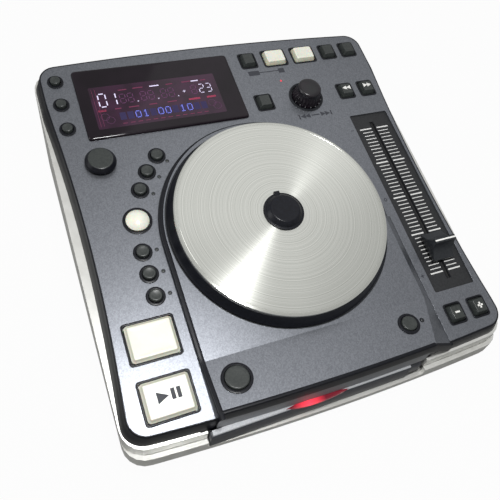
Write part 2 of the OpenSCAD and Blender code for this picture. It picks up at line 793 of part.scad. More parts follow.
module fader_body() color(steel) on_panel() translate([fader_x, fader_mid_v, 0]) difference() {
    block(
        [-fader_body_w / 2, fader_body_w / 2], [-fader_body_d / 2, fader_body_d / 2],
        [cover_low - fader_body_h, cover_low]
    );
    block(
        [-fader_body_w / 2 + 1, fader_body_w / 2 - 1],
        [-fader_slot_d / 2 - 3, fader_slot_d / 2 + 3],
        [cover_low - fader_body_h + 1, cover_low - 1]
    );
    block(
        [-fader_slot_w / 2, fader_slot_w / 2], [-fader_slot_d / 2, fader_slot_d / 2],
        [cover_low - 2, cover_low + 1]
    );
}

board_side = case_w / 2 - flange_in - 0.6;
board_front_v = -82;
module control_board() color(board_green) {
    on_panel() {
        block([-board_side, board_side], [63.5, rear_v - 11.6], [board_top - board_t, board_top]);
        block([-board_side, -tray_left - rail_t - 1], [board_front_v, 64], [board_top - board_t, board_top]);
        block([-75, -46], [18, 64], [board_top - board_t, board_top]);
        block([fader_x - 24, fader_x - 9], [board_front_v, 64], [board_top - board_t, board_top]);
        block([fader_x - 24, board_side], [board_front_v, -66], [board_top - board_t, board_top]);
    }
    for (at = ALL_AT)
        at_uv(at) block([-switch_w / 2, switch_w / 2], [-switch_w / 2, switch_w / 2], [board_top, switch_top]);
    at_uv(knob_at) difference() {
        block([-6, 6], [-6, 6], [board_top, cover_low]);
        disc(knob_shaft_r + play, board_top, 5);
    }
    block([facet_post_x[0] - 15, facet_post_x[2] + 14],
        [axis_y + eject_place[1] * cos(slope) - 8, axis_y + eject_place[1] * cos(slope) + 6],
        [facet_board_top - board_t, facet_board_top]);
    for (c = FACET) translate([c[0][0], axis_y + c[0][1] * cos(slope) - 1.2, facet_board_top])
        block([-switch_w / 2, switch_w / 2], [-switch_w / 2, switch_w / 2], [0, switch_h]);
}

main_board_z = foot_h + steel_t + 4;
main_board_y = rear_wall - case_corner_r - main_board_d;
main_board_side = case_w / 2 - 20.5;
module main_board() {
    color(board_green) block(
        [-main_board_side, main_board_side], [main_board_y, main_board_y + main_board_d],
        [main_board_z, main_board_z + board_t]
    );
    color(steel) for (x = [-1, 1] * (main_board_side - 6), y = [6, main_board_d - 6])
        translate([x, main_board_y + y, 0]) disc(3, foot_h + steel_t, main_board_z);
    color(charcoal) {
        translate([18 - main_board_side, main_board_y + 3, main_board_z + board_t]) cube([34, 19, 24.4]);
        block([-12, 12], [main_board_y + 8, main_board_y + 32], [main_board_z + board_t, main_board_z + 4]);
        block([26, 44], [main_board_y + 8, main_board_y + 26], [main_board_z + board_t, main_board_z + 4]);
        for (in = [8, 21, 34])
            translate([main_board_side - in, main_board_y + 12, 0]) disc(5, main_board_z + board_t, main_board_z + 16);
    }
}

jack_z = mid_z + jack_lift;
module rear_panel() color(steel) difference() {
    block(
        [-rear_panel_w / 2, rear_panel_w / 2], [rear_wall - steel_t, rear_wall],
        [mid_z + 1.5, mid_z + 1.5 + rear_panel_h]
    );
    for (x = jack_x) translate([x, rear_wall, jack_z]) rotate([90, 0, 0]) disc(jack_r, -5, 10);
    translate([-power_left, rear_wall, jack_z]) rotate([90, 0, 0]) disc(power_r + gap, -5, 10);
    block([-inlet_left - inlet_size[0] / 2 - 1.2, -inlet_left + inlet_size[0] / 2 + 1.2],
        [rear_wall - 5, rear_wall + 5], [jack_z - inlet_size[1] / 2 - 1.2, jack_z + inlet_size[1] / 2 + 1.2]);
    for (x = [-1, 1], z = [3, rear_panel_h - 3])
        translate([x * (rear_panel_w / 2 - 3), rear_wall - 6, mid_z + 1.5 + z])
            rotate([-90, 0, 0]) disc(screw_r, 0, 8);
}

module rear_jacks() {
    color(brass_yellow) for (x = jack_x) translate([x, rear_wall, jack_z]) rotate([-90, 0, 0]) difference() {
        disc(jack_r, -steel_t, jack_out);
        disc(1.7, jack_out - 8, jack_out + 1);
    }
    color(charcoal) for (k = [0, 2])
        block(
            [jack_x[k] - 6, jack_x[k + 1] + 6], [rear_wall - steel_t - 12, rear_wall - steel_t],
            [jack_z - 7, jack_z + 7]
        );
}

module power_inlet() color(charcoal) {
    difference() {
        union() {
            block([-inlet_left - inlet_size[0] / 2 - 1.2, -inlet_left + inlet_size[0] / 2 + 1.2],
                [rear_wall - inlet_size[2] - 1.5, rear_wall],
                [jack_z - inlet_size[1] / 2 - 1.2, jack_z + inlet_size[1] / 2 + 1.2]);
            block([-inlet_left - inlet_size[0] / 2 - 4, -inlet_left + inlet_size[0] / 2 + 4],
                [rear_wall, rear_wall + 2], [jack_z - inlet_size[1] / 2 - 3, jack_z + inlet_size[1] / 2 + 3]);
        }
        block([-inlet_left - inlet_size[0] / 2, -inlet_left + inlet_size[0] / 2],
            [rear_wall - inlet_size[2], rear_wall + 3],
            [jack_z - inlet_size[1] / 2, jack_z + inlet_size[1] / 2]);
    }
    for (pin = [[-7, -5], [7, -5], [0, 1]])
        translate([pin[0] - inlet_left, 0, pin[1] + jack_z])
            block([-1, 1], [rear_wall - inlet_size[2] - 0.1, rear_wall - 2], [0, 4]);
    // the power switch's housing
    difference() {
        block(
            [-power_left - 7, -power_left + 7], [rear_wall - steel_t - 16, rear_wall - steel_t],
            [jack_z - 7, jack_z + 7]
        );
        translate([-power_left, rear_wall, jack_z]) rotate([90, 0, 0]) disc(power_r + gap, -5, steel_t + 13);
    }
}

module power_button() color(cap_grey) translate([-power_left, rear_wall, jack_z]) rotate([-90, 0, 0]) {
    disc(power_r, -steel_t - 13 + power_press + 0.2, 4);
    translate([0, 0, 4]) cylinder(r1 = power_r, r2 = power_r - 0.6, h = 0.6);
}

// Platter -----------------------------------------------------------------------------------------

module platter_disc() color(silver) on_panel() difference() {
    union() {
        disc(platter_r, platter_top - platter_t, platter_top - 0.4);
        translate([0, 0, platter_top - 0.4]) cylinder(r1 = platter_r, r2 = platter_r - 0.4, h = 0.4);
    }
    disc(spindle_r, 0, 20);
}

module platter_rim() color(charcoal) on_panel() difference() {
    rotate_extrude() polygon([
        [0, deck_under + gap + 0.4], [8, deck_under + gap + 0.4], [8, platter_top - platter_t - 1.6],
        [platter_r - 1.6, platter_top - platter_t - 1.6], [skirt_r - 2.2, skirt_low],
        [skirt_r, skirt_low], [skirt_r, skirt_low + 1], [platter_r + 0.5, platter_top - platter_t],
        [0, platter_top - platter_t]
    ]);
    disc(spindle_r, -5, 20);
}

module platter_spindle() color(steel) on_panel() disc(spindle_r, -bearing_low - 3, platter_top - 0.2);

module hub_cap() color(charcoal) on_panel() difference() {
    union() {
        translate([0, 0, platter_top]) cylinder(r1 = hub_d / 2, r2 = hub_d / 2 - 0.8, h = 1.2);
        translate([0, 0, platter_top + 1.2])
            cylinder(r1 = hub_d / 2 - 0.8, r2 = hub_top_d / 2, h = hub_h - 1.2);
        block([-1.6, 1.6], [hub_d / 2 - 2, hub_d / 2 + 1.2], [platter_top, platter_top + 1]);
    }
    disc(spindle_r, 0, platter_top - 0.2);
}

module platter_bearing() color(brass_yellow) on_panel() difference() {
    union() {
        disc(bearing_flange_r, deck_under - 2, deck_under);
        disc(bearing_r, -bearing_low, deck_under);
    }
    disc(spindle_r + play, -30, 20);
}

module encoder_disc() color(charcoal) on_panel() difference() {
    disc(encoder_r, -bearing_low - 2.4, -bearing_low - 1.4);
    disc(spindle_r, -30, 20);
    for (k = [0:encoder_slots - 1]) rotate(360 * k / encoder_slots)
        block([encoder_r - 5, encoder_r - 1], [-0.6, 0.6], [-30, 0]);
}

// Tray and disc drive -----------------------------------------------------------------------------

// Teeth narrower than half the pitch, so that gear and rack run with play
tooth_root = 0.88;
tooth_waist = 0.6;
tooth_tip = 0.34;
tooth_out = 0.8;
tooth_in = 1.2;

module tray() color(charcoal) {
    difference() {
        block([-tray_left, tray_right], [tray_y, tray_y + tray_d], [tray_z, tray_z + tray_t]);
        translate([tray_mid_x, well_y, 0]) {
            disc(well_d / 2, tray_z + tray_t - well_depth, tray_z + tray_t + 1);
            disc(small_well_d / 2, tray_z + tray_t - well_depth - 0.7, tray_z + tray_t + 1);
            disc(slot_w / 2, tray_z - 1, tray_z + tray_t + 1);
            block([-slot_w / 2, slot_w / 2], [0, reach], [tray_z - 1, tray_z + tray_t + 1]);
        }
    }
    // the rack under the tray's left edge
    translate([0, 0, tray_z - rack_h]) linear_extrude(rack_h + 0.1) {
        polygon([
            [rack_x - tooth_in - rack_bar, tray_y], [rack_x - tooth_in, tray_y],
            [rack_x - tooth_in, tray_y + tray_d], [rack_x - tooth_in - rack_bar, tray_y + tray_d]
        ]);
        for (k = [-3:floor((tray_y + tray_d - gear_y) / tooth_pitch - 1)])
            translate([rack_x, gear_y + (k + 0.5) * tooth_pitch]) polygon([
                [-tooth_in - 0.1, -tooth_root], [0, -tooth_waist], [tooth_out, -tooth_tip],
                [tooth_out, tooth_tip], [0, tooth_waist], [-tooth_in - 0.1, tooth_root]
            ] * gear_module);
    }
}

module tray_front() color(charcoal) difference() {
    union() {
        bowed(tray_face_y, tray_front_t, -tray_left, tray_right - tray_nose, tray_front_z, tray_top_z);
        bowed(
            tray_face_y + 2, tray_front_t - 2, tray_right - tray_nose - 0.1, tray_right,
            tray_front_z, tray_top_z - 1.6
        );
        block(
            [-tray_left, tray_right], [tray_face_y + tray_front_t - 0.2, tray_y],
            [tray_z, tray_z + tray_t]
        );
    }
    lens_form(lens_w, lens_d, tray_top_z - 1.2, tray_top_z + 1);
    block([-reach, reach], [tray_y, reach], [0, 60]);
}

// An almond between two arcs, set in the tray's top front edge
function almond(w, d) = [
    for (side = [-1, 1]) for (k = [0:lens_steps - 1]) let (t = 2 * k / lens_steps - 1)
        [-side * t * w / 2, side * (1 - t * t) * d / 2]
];
module lens_form(w, d, low, high)
    translate([-lens_left, tray_face_y + 2.4, 0]) prism(almond(w, d), low, high);
module tray_lens() color(lens_red) lens_form(lens_w, lens_d, tray_top_z - 1.2, tray_top_z + 0.2);

module loading_gear() color(white_plastic) translate([gear_x, gear_y, drive_floor_top + 1]) difference() {
    union() {
        linear_extrude(gear_t) {
            circle(r = gear_r - tooth_in * gear_module + 0.05);
            for (k = [0:gear_teeth - 1]) rotate(360 * k / gear_teeth) translate([gear_r, 0]) polygon([
                [-tooth_in - 0.1, -tooth_root], [0, -tooth_waist], [tooth_out, -tooth_tip],
                [tooth_out, tooth_tip], [0, tooth_waist], [-tooth_in - 0.1, tooth_root]
            ] * gear_module);
        }
        disc(4, -0.8, gear_t);
    }
    disc(gear_pin_r + play, -5, 10);
}

rail_top = tray_z + tray_t + gap + 1.5;
// A rail beside the tray: a wall with a shelf under the tray's edge and a keeper over it
module rail(side) mirror([side < 0 ? 1 : 0, 0, 0]) translate([side < 0 ? tray_left : tray_right, 0, 0]) {
    block([gap, gap + rail_t], [rail_front, rail_back], [drive_floor_z, rail_top]);
    block([-1.8, gap + 0.1], [rail_front, rail_back], [tray_z - gap - 1.8, tray_z - gap]);
    block([-0.9, gap + 0.1], [rail_front, rail_back], [tray_z + tray_t + gap, rail_top]);
}

module drive_chassis() color(steel) difference() {
    union() {
        difference() {
            block(
                [-tray_left - gap - rail_t, tray_right + gap + rail_t], [rail_front, rail_back],
                [drive_floor_z, drive_floor_top]
            );
            translate([tray_mid_x, 0, 0]) block([-sled_w / 2 - 1, sled_w / 2 + 1],
                [sled_y - 2, sled_y + sled_d + sled_travel + 2], [0, 60]);
        }
        rail(-1);
        rail(1);
        for (x = [-tray_left + 4, tray_right - 4], y = [rail_front + 8, rail_back - 8])
            translate([x, y, 0]) disc(3.5, foot_h + steel_t, drive_floor_z + 0.1);
        translate([tray_mid_x, well_y, 0]) disc(motor_r, foot_h + steel_t + 1, turntable_z - 2);
        translate([gear_x, gear_y, 0]) disc(gear_pin_r, drive_floor_z, drive_floor_top + 1 + gear_t + 0.2);
        // the loading motor, hung under the floor
        translate([gear_x + 22, gear_y + 4, 0]) disc(6, foot_h + steel_t + 0.5, drive_floor_z + 0.1);
        translate([tray_mid_x, 0, 0]) {
            for (y = [sled_y - 4.5, sled_y + sled_d + sled_travel + 2])
                block([-sled_w / 2 - 1, sled_w / 2 + 1], [y, y + 2.5], [drive_floor_z, rod_z + rod_r + 0.8]);
            for (x = [-rod_x, rod_x]) translate([x, sled_y - 4, rod_z]) rotate([-90, 0, 0])
                disc(rod_r, 0, sled_d + sled_travel + 8);
        }
    }
    translate([tray_mid_x, well_y, 0]) disc(motor_shaft_r + play, foot_h + steel_t + 3, 60);
}

module turntable() color(white_plastic) translate([tray_mid_x, well_y, 0]) {
    disc(motor_shaft_r, foot_h + steel_t + 4, turntable_z + 0.1);
    disc(turntable_r, turntable_z, turntable_z + turntable_t);
    translate([0, 0, turntable_z + turntable_t]) cylinder(r1 = 7.4, r2 = 5, h = 2);
}

module laser_sled() color(charcoal) translate([tray_mid_x, sled_y, sled_z]) difference() {
    union() {
        block([-sled_w / 2, sled_w / 2], [0, sled_d], [0, sled_h]);
        translate([0, sled_d / 2, 0]) disc(4.5, sled_h - 0.1, sled_h + 0.9);
    }
    for (x = [-rod_x, rod_x])
        translate([x, -1, sled_h / 2]) rotate([-90, 0, 0]) disc(rod_r + play, 0, sled_d + 2);
    translate([0, sled_d / 2, 0]) disc(2.2, sled_h + 0.3, sled_h + 2);
}

// Buttons -----------------------------------------------------------------------------------------

module round_button(at, r, top, tint) color(tint) at_uv(at) {
    disc(r, button_low, top - 0.5);
    disc(r + button_flange_out, button_low, button_flange_top);
    translate([0, 0, top - 0.5]) cylinder(r1 = r, r2 = r - 0.5, h = 0.5);
}
module square_button(at, size, top, tint) color(tint) at_uv(at) {
    tablet(size, 1, button_low, top - 0.5);
    tablet(
        [size[0] + 2 * button_flange_out, size[1] + 2 * button_flange_out], 1, button_low,
        button_flange_top
    );
    tablet([size[0] - 0.8, size[1] - 0.8], 0.8, top - 0.6, top);
}
module facet_button(at, r, top) color(cap_grey) facet_at(at) {
    low = -facet_shell - gap - button_flange_t;
    disc(r, low, top - 0.5);
    disc(r + button_flange_out, low, low + button_flange_t);
    translate([0, 0, top - 0.5]) cylinder(r1 = r, r2 = r - 0.5, h = 0.5);
}

module title_button() round_button(small_at[0], small_r, round_top, cap_grey);
module memory_button() round_button(small_at[1], small_r, round_top, cap_grey);
module time_button() round_button(small_at[2], small_r, round_top, cap_grey);
module tap_button() round_button(tap_at, tap_r, tap_top, cap_grey);
module echo_button() round_button(effect_at[0], effect_r, round_top, cap_grey);
module flanger_button() round_button(effect_at[1], effect_r, round_top, cap_grey);
module filter_button() round_button(effect_at[2], effect_r, round_top, cap_grey);
module drag_button() round_button(effect_at[3], effect_r, round_top, cap_grey);
module brake_button() round_button(effect_at[4], effect_r, round_top, cap_grey);
module reverse_button() round_button(effect_at[5], effect_r, round_top, cap_grey);
module cue_button() square_button(cue_at, cue_size, pad_top, milky);
module play_button() square_button(play_at, play_size, pad_top, milky);
module flip_button() square_button(row_at[0], key_size, key_top, cap_grey);
module loop_a1_button() square_button(row_at[1], loop_size, key_top, milky);
module loop_a2_button() square_button(row_at[2], loop_size, key_top, milky);
module loop_b_button() square_button(row_at[3], key_size, key_top, cap_grey);
module exit_button() square_button(row_at[4], key_size, key_top, cap_grey);
module next_button() square_button(next_at, key_size, key_top, cap_grey);
module search_back_button() square_button(search_at[0], key_size, key_top, cap_grey);
module search_forward_button() square_button(search_at[1], key_size, key_top, cap_grey);
module bend_down_button() square_button(bend_at[0], key_size, key_top, cap_grey);
module bend_up_button() square_button(bend_at[1], key_size, key_top, cap_grey);
module eject_button() facet_button(eject_place, eject_r, 1.6);
module pitch_button() facet_button(pitch_place, pitch_r, 1.6);

// The lit mode button: a low dome, part of a ball
module mode_button() color(milky) at_uv(dome_at) {
    rise = 2.4;
    ball_r = (dome_r * dome_r + rise * rise) / (2 * rise);
    disc(dome_r, button_low, 1.2);
    disc(dome_r + button_flange_out, button_low, button_flange_top);
    intersection() {
        translate([0, 0, 1.2 + rise - ball_r]) sphere(r = ball_r);
        disc(dome_r, 1.1, 10);
    }
}

knob_low = -panel_t + knob_press + 0.2;
module parameter_knob() color(charcoal) at_uv(knob_at) difference() {
    union() {
        translate([0, 0, knob_low]) cylinder(r1 = knob_r, r2 = knob_r - 0.4, h = 1.4);
        translate([0, 0, knob_low + 1.4]) cylinder(r1 = knob_r - 0.4, r2 = knob_grip_r, h = 4.6);
        disc(knob_grip_r, knob_low + 6, knob_top - 1);
        translate([0, 0, knob_top - 1]) cylinder(r1 = knob_grip_r, r2 = knob_grip_r - 1, h = 1);
    }
    disc(knob_shaft_r + play, -10, knob_top - 3);
    for (a = [0:30:330]) rotate(a) translate([knob_r + 0.4, 0, 0]) disc(1, -2, 4.5);
}
module knob_shaft() color(steel) at_uv(knob_at)
    disc(knob_shaft_r, board_top + knob_press + 0.2, knob_top - 3.4);

module fader_cap() color(charcoal) on_panel() translate([fader_x, fader_v, 0]) difference() {
    foot = 1;
    brim = 2.8;
    ridge = 1.2;
    half = fader_cap_d / 2;
    side = [for (k = [0:8])
        let (t = k / 8) [ridge + (half - ridge) * pow(1 - t, 2.2), brim + (fader_cap_top - brim) * t]];
    translate([-fader_cap_w / 2, 0, 0]) rotate([90, 0, 90]) linear_extrude(fader_cap_w) polygon(concat(
        [[-half, foot], [half, foot]], side, [for (k = [8:-1:0]) [-side[k][0], side[k][1]]]
    ));
    block([-lever_t / 2, lever_t / 2], [-lever_w / 2, lever_w / 2], [-1, 6]);
}

module fader_lever() color(steel) on_panel() translate([fader_x, fader_v, 0]) {
    block([-lever_t / 2, lever_t / 2], [-lever_w / 2, lever_w / 2], [cover_low - 4, 6]);
    block([-fader_body_w / 2 + 1 + gap, fader_body_w / 2 - 1 - gap], [-lever_w / 2, lever_w / 2],
        [cover_low - fader_body_h + 1 + gap, cover_low - 4 + 0.1]);
}

bottom_plate();
feet();
lower_case();
side_case();
top_cover();
panel_plate();
deck_plate();
display_window();
display_module();
fader_plate();
fader_body();
control_board();
main_board();
rear_panel();
rear_jacks();
power_inlet();
drive_chassis();
platter_bearing();
case_screws();
platter_disc();
platter_rim();
hub_cap();
platter_spindle();
encoder_disc();
tray();
tray_front();
tray_lens();
loading_gear();
laser_sled();
turntable();
parameter_knob();
knob_shaft();
fader_cap();
fader_lever();
power_button();
title_button();
memory_button();
time_button();
tap_button();
echo_button();
flanger_button();
filter_button();
mode_button();
drag_button();
brake_button();
reverse_button();
cue_button();
play_button();
eject_button();
pitch_button();
flip_button();
loop_a1_button();
loop_a2_button();
loop_b_button();
exit_button();
next_button();
search_back_button();
search_forward_button();
bend_down_button();
bend_up_button();
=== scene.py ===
import json
import math

import bmesh
import bpy
import numpy as np
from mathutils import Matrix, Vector


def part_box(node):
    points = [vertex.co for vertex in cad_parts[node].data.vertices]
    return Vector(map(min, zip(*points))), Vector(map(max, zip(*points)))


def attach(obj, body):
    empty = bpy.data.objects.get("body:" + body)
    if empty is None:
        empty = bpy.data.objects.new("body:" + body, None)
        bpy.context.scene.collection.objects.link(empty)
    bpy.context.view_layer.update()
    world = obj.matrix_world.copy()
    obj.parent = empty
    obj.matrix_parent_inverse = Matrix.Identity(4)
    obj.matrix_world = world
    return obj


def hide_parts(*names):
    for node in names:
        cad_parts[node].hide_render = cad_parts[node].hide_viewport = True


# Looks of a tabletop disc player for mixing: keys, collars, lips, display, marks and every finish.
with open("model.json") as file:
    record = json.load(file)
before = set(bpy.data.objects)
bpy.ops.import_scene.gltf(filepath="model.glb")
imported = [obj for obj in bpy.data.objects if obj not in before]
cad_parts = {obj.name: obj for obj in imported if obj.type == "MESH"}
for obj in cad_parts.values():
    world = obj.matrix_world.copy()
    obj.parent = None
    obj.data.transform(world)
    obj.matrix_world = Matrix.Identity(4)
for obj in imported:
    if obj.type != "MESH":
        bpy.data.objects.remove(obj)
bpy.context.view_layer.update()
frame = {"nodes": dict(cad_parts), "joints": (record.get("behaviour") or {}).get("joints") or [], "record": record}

MM = 0.001
SHARP = math.radians(38)  # edges that turn more than this stay crisp

# ----------------
# The panel's own frame: u across, v up the slope, w out of the panel, in mm from the platter's axis

joints = {j["name"]: j for j in frame["joints"]}
PANEL_UP = np.array(joints["platter_spin"]["axis"])
AXIS = np.array(joints["platter_spin"]["pos_m"])
SLOPE = math.atan2(-PANEL_UP[1], PANEL_UP[2])
TAN_SLOPE = math.tan(SLOPE)
UVW = np.array([[1, 0, 0], [0, math.cos(SLOPE), math.sin(SLOPE)], PANEL_UP])


def on_panel(points):
    """World place of (u, v, w) points: the axis point plus u, v and w times the panel's three directions."""
    return AXIS + np.asarray(points, float) * MM @ UVW


def numbers(rows, field):
    """One whole number of each corner or face of a mesh."""
    found = np.zeros(len(rows), int)
    rows.foreach_get(field, found)
    return found


def panel_places(mesh):
    """The (u, v, w) places of a mesh's vertices, in mm."""
    co = np.zeros(len(mesh.vertices) * 3)
    mesh.vertices.foreach_get("co", co)
    return (co.reshape(-1, 3) - AXIS) @ UVW.T / MM


def panel_box(node):
    """Lowest and highest (u, v, w) of a CAD node."""
    local = panel_places(frame["nodes"][node].data)
    return local.min(0), local.max(0)


def world_box(node):
    """Lowest and highest corner of a CAD node in world mm."""
    low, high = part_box(node)
    return np.array(low) / MM, np.array(high) / MM


# ----------------
# Surfaces: a shape is a stack of rings, or a profile carried along a path


def shell(rings, closed=False):
    """Skins m rings of n points each: quad (i, j) joins rings i and i + 1 at points j and j + 1. When closed, the
    last ring meets the first. Otherwise a face closes each end."""
    rings = np.asarray(rings, float)
    m, n = rings.shape[:2]
    i, j = np.meshgrid(np.arange(m if closed else m - 1), np.arange(n), indexing="ij")
    here, there = i * n, (i + 1) % m * n
    step = (j + 1) % n
    faces = np.stack([here + j, here + step, there + step, there + j], -1).reshape(-1, 4).tolist()
    if not closed:
        faces += [list(range(n))[::-1], list(range((m - 1) * n, m * n))]
    return rings.reshape(-1, 3), faces


def joined(parts):
    """One mesh of several (points, faces) pairs."""
    points, faces, count = [], [], 0
    for part_points, part_faces in parts:
        points.append(part_points)
        faces += [[k + count for k in face] for face in part_faces]
        count += len(part_points)
    return np.vstack(points), faces


def placed(name, data):
    """A new object in the scene."""
    thing = bpy.data.objects.new(name, data)
    bpy.context.scene.collection.objects.link(thing)
    return thing


def piece(name, parts, body, finish, replaces=()):
    """A closed mesh in world metres, smooth up to the sharp angle, riding on a body."""
    points, faces = joined(parts)
    mesh = bpy.data.meshes.new(name)
    mesh.from_pydata(points.tolist(), [], faces)
    solid = bmesh.new()
    solid.from_mesh(mesh)
    bmesh.ops.recalc_face_normals(solid, faces=solid.faces)
    solid.to_mesh(mesh)
    solid.free()
    mesh.polygons.foreach_set("use_smooth", np.ones(len(mesh.polygons), bool))
    mesh.set_sharp_from_angle(angle=SHARP)
    mesh.materials.append(finish)
    thing = placed(name, mesh)
    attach(thing, body)
    if replaces:
        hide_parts(*replaces)
    return thing


def circle(radius, count=72, flutes=0, depth=0.0):
    """Points of a circle, its radius drawn in by depth in even flutes: r - depth (1 + cos(flutes a)) / 2."""
    a = np.linspace(0, 2 * math.pi, count, endpoint=False)
    r = radius - depth * (1 + np.cos(flutes * a)) / 2
    return np.stack([r * np.cos(a), r * np.sin(a)], -1)


def tablet(size, corner):
    """Points of a rectangle with round corners: four quarter circles, each about its own corner centre."""
    corner = max(corner, 0.05)
    a = np.linspace(0, math.pi / 2, 6)
    corners = [(1, 1), (-1, 1), (-1, -1), (1, -1)]
    points = [
        np.stack([
            sx * (size[0] / 2 - corner) + corner * np.cos(a + k * math.pi / 2),
            sy * (size[1] / 2 - corner) + corner * np.sin(a + k * math.pi / 2),
        ], -1)
        for k, (sx, sy) in enumerate(corners)
    ]
    return np.vstack(points)


def lifted(outline, at, w):
    """An outline about the place (u, v), at the height w, as world points."""
    flat = np.column_stack([outline + np.asarray(at)[:2], np.broadcast_to(w, len(outline))])
    return on_panel(flat)


def lathe(profile, at, count=72, flutes=0, depths=None, closed=False):
    """A profile of (radius, w) pairs turned about the panel's normal at the place (u, v)."""
    depths = depths if depths is not None else [0.0] * len(profile)
    return shell([
        lifted(circle(r, count, flutes, d), at, w) for (r, w), d in zip(profile, depths)
    ], closed)


def key_block(at, size, corner, levels, closed=False):
    """A stack of round-cornered rectangles: level (inset, w) is the size less inset all round, at the height w."""
    return shell([
        lifted(tablet((size[0] - 2 * i, size[1] - 2 * i), corner - i * 0.8), at, w) for i, w in levels
    ], closed)


def sweep(path, side, profile):
    """A profile of (out, rise) pairs carried along a path: path point plus out times side, and rise straight up.
    The profile is one for all, or one for each point."""
    path, side, profile = (np.asarray(a, float) for a in (path, side, profile))
    profile = np.broadcast_to(profile, (len(path), *profile.shape[-2:]))
    return shell((path[:, None] + profile[..., :1] * side[:, None] + profile[..., 1:] * (0.0, 0.0, 1.0)) * MM)


def slabs(centres, sizes, low, high):
    """Flat little blocks on the panel: centres and sizes in (u, v), between two heights."""
    centres = np.atleast_2d(centres)
    count = len(centres)
    corner = np.array([[-1, -1], [1, -1], [1, 1], [-1, 1]]) / 2
    flat = centres[:, None] + corner[None] * np.broadcast_to(sizes, (count, 2))[:, None]
    stack = np.stack([np.concatenate([flat, np.full((count, 4, 1), w)], -1) for w in (low, high)], 1)
    points = on_panel(stack.reshape(-1, 3))
    faces = np.array([[3, 2, 1, 0], [4, 5, 6, 7], [0, 1, 5, 4], [1, 2, 6, 5], [2, 3, 7, 6], [3, 0, 4, 7]])
    return points, (faces[None] + 8 * np.arange(count)[:, None, None]).reshape(-1, 4).tolist()


def plate(outline, low, high):
    """A flat mark: an outline of (u, v) points between two heights."""
    outline = np.asarray(outline, float)
    return shell([lifted(outline, (0, 0), low), lifted(outline, (0, 0), high)])


# ----------------
# Finishes


def linear(hex_colour):
    """Linear RGBA of an sRGB hex colour."""
    srgb = [int(hex_colour[k:k + 2], 16) / 255 for k in (1, 3, 5)]
    return (*[c / 12.92 if c <= 0.04045 else ((c + 0.055) / 1.055) ** 2.4 for c in srgb], 1.0)


def add(tree, kind, settings=None, **inputs):
    """One node with its settings, and its inputs as values or links. An input named in0 is the first socket."""
    made = tree.nodes.new("ShaderNode" + kind)
    for key, value in (settings or {}).items():
        setattr(made, key, value)
    for key, value in inputs.items():
        numbered = key[:2] == "in" and key[2:].isdigit()
        socket = made.inputs[int(key[2:]) if numbered else key.replace("_", " ")]
        if isinstance(value, bpy.types.NodeSocket):
            tree.links.new(value, socket)
        else:
            socket.default_value = value
    return made


def material(name, colour, roughness, metallic=0.0, **sockets):
    """A material with its shader's constants set on the shader's own sockets."""
    made = bpy.data.materials.new(name)
    made.use_nodes = True
    shader = made.node_tree.nodes["Principled BSDF"]
    shader.inputs["Base Color"].default_value = linear(colour)
    shader.inputs["Roughness"].default_value = roughness
    shader.inputs["Metallic"].default_value = metallic
    for key, value in sockets.items():
        shader.inputs[key.replace("_", " ")].default_value = value
    return made, made.node_tree, shader


def toned(tree, value, colours, stops=(0.0, 1.0)):
    """A colour that runs from one sRGB tone to another as the value goes from stop to stop."""
    ramp = add(tree, "ValToRGB", Fac=value)
    for element, stop, colour in zip(ramp.color_ramp.elements, stops, colours):
        element.position, element.color = stop, linear(colour)
    return ramp.outputs["Color"]


def bumped(tree, shader, height, strength, depth_mm):
    """A bump on the shader, as deep as a real grain."""
    lift = add(tree, "Bump", Strength=strength, Distance=depth_mm * MM, Height=height)
    tree.links.new(lift.outputs["Normal"], shader.inputs["Normal"])
    return lift


def speckled(tree, shader, colours, grain_mm, bump=0.0, bump_mm=1.0, detail=2.0):
    """Colour that wanders between two tones at a real grain, and a bump of its own grain."""
    place = add(tree, "TexCoord").outputs["Object"]
    noise = add(tree, "TexNoise", Vector=place, Scale=1 / (grain_mm * MM), Detail=detail)
    tree.links.new(toned(tree, noise.outputs["Fac"], colours, (0.35, 0.65)), shader.inputs["Base Color"])
    if bump:
        fine = add(tree, "TexNoise", Vector=place, Scale=1 / (bump_mm * MM), Detail=3.0)
        return bumped(tree, shader, fine.outputs["Fac"], bump, 0.05)


def softened(tree, lift, radius_mm):
    """Rounds the light on sharp moulded edges by a radius, under the bump."""
    edge = add(tree, "Bevel", {"samples": 4}, Radius=radius_mm * MM)
    tree.links.new(edge.outputs["Normal"], lift.inputs["Normal"])


def silver_moulding():
    """Pale silver ABS with a fine spark finish: a faint cloudiness, and edges rounded by about 0.5 mm."""
    made, tree, shader = material("silver_abs", "#dcdcd8", 0.36, 0.4)
    lift = speckled(tree, shader, ("#d2d2cd", "#e0e0dc"), 9.0, 0.25, 0.35, 4.0)
    softened(tree, lift, 0.5)
    return made


def flake_paint():
    """Metallic grey paint: aluminium flakes in a grey lacquer, drawn at 0.5 mm so that they show as sparkle."""
    made, tree, shader = material("flake_paint", "#7c7f86", 0.4, 0.9)
    place = add(tree, "TexCoord").outputs["Object"]
    flakes = add(tree, "TexVoronoi", Vector=place, Scale=1 / (0.55 * MM))
    tone = toned(tree, flakes.outputs["Color"], ("#74777d", "#888b91"), (0.15, 0.95))
    tree.links.new(tone, shader.inputs["Base Color"])
    softened(tree, bumped(tree, shader, flakes.outputs["Distance"], 0.08, 0.03), 0.25)
    return made


def charcoal_moulding(name="charcoal_abs", colours=("#1d2024", "#25282c"), roughness=0.38, gloss=0.4):
    """Charcoal ABS from a lightly etched mould: a soft sheen with a fine grain."""
    made, tree, shader = material(name, colours[0], roughness, Specular_IOR_Level=gloss)
    lift = speckled(tree, shader, colours, 1.2, 0.2, 0.3)
    softened(tree, lift, 0.25)
    return made


def key_plastic():
    """Dark grey keys in moulded ABS, slightly warm, with a satin top."""
    made, tree, shader = material("key_abs", "#323634", 0.34)
    speckled(tree, shader, ("#2b2f2e", "#363a38"), 1.0, 0.2, 0.25)
    return made


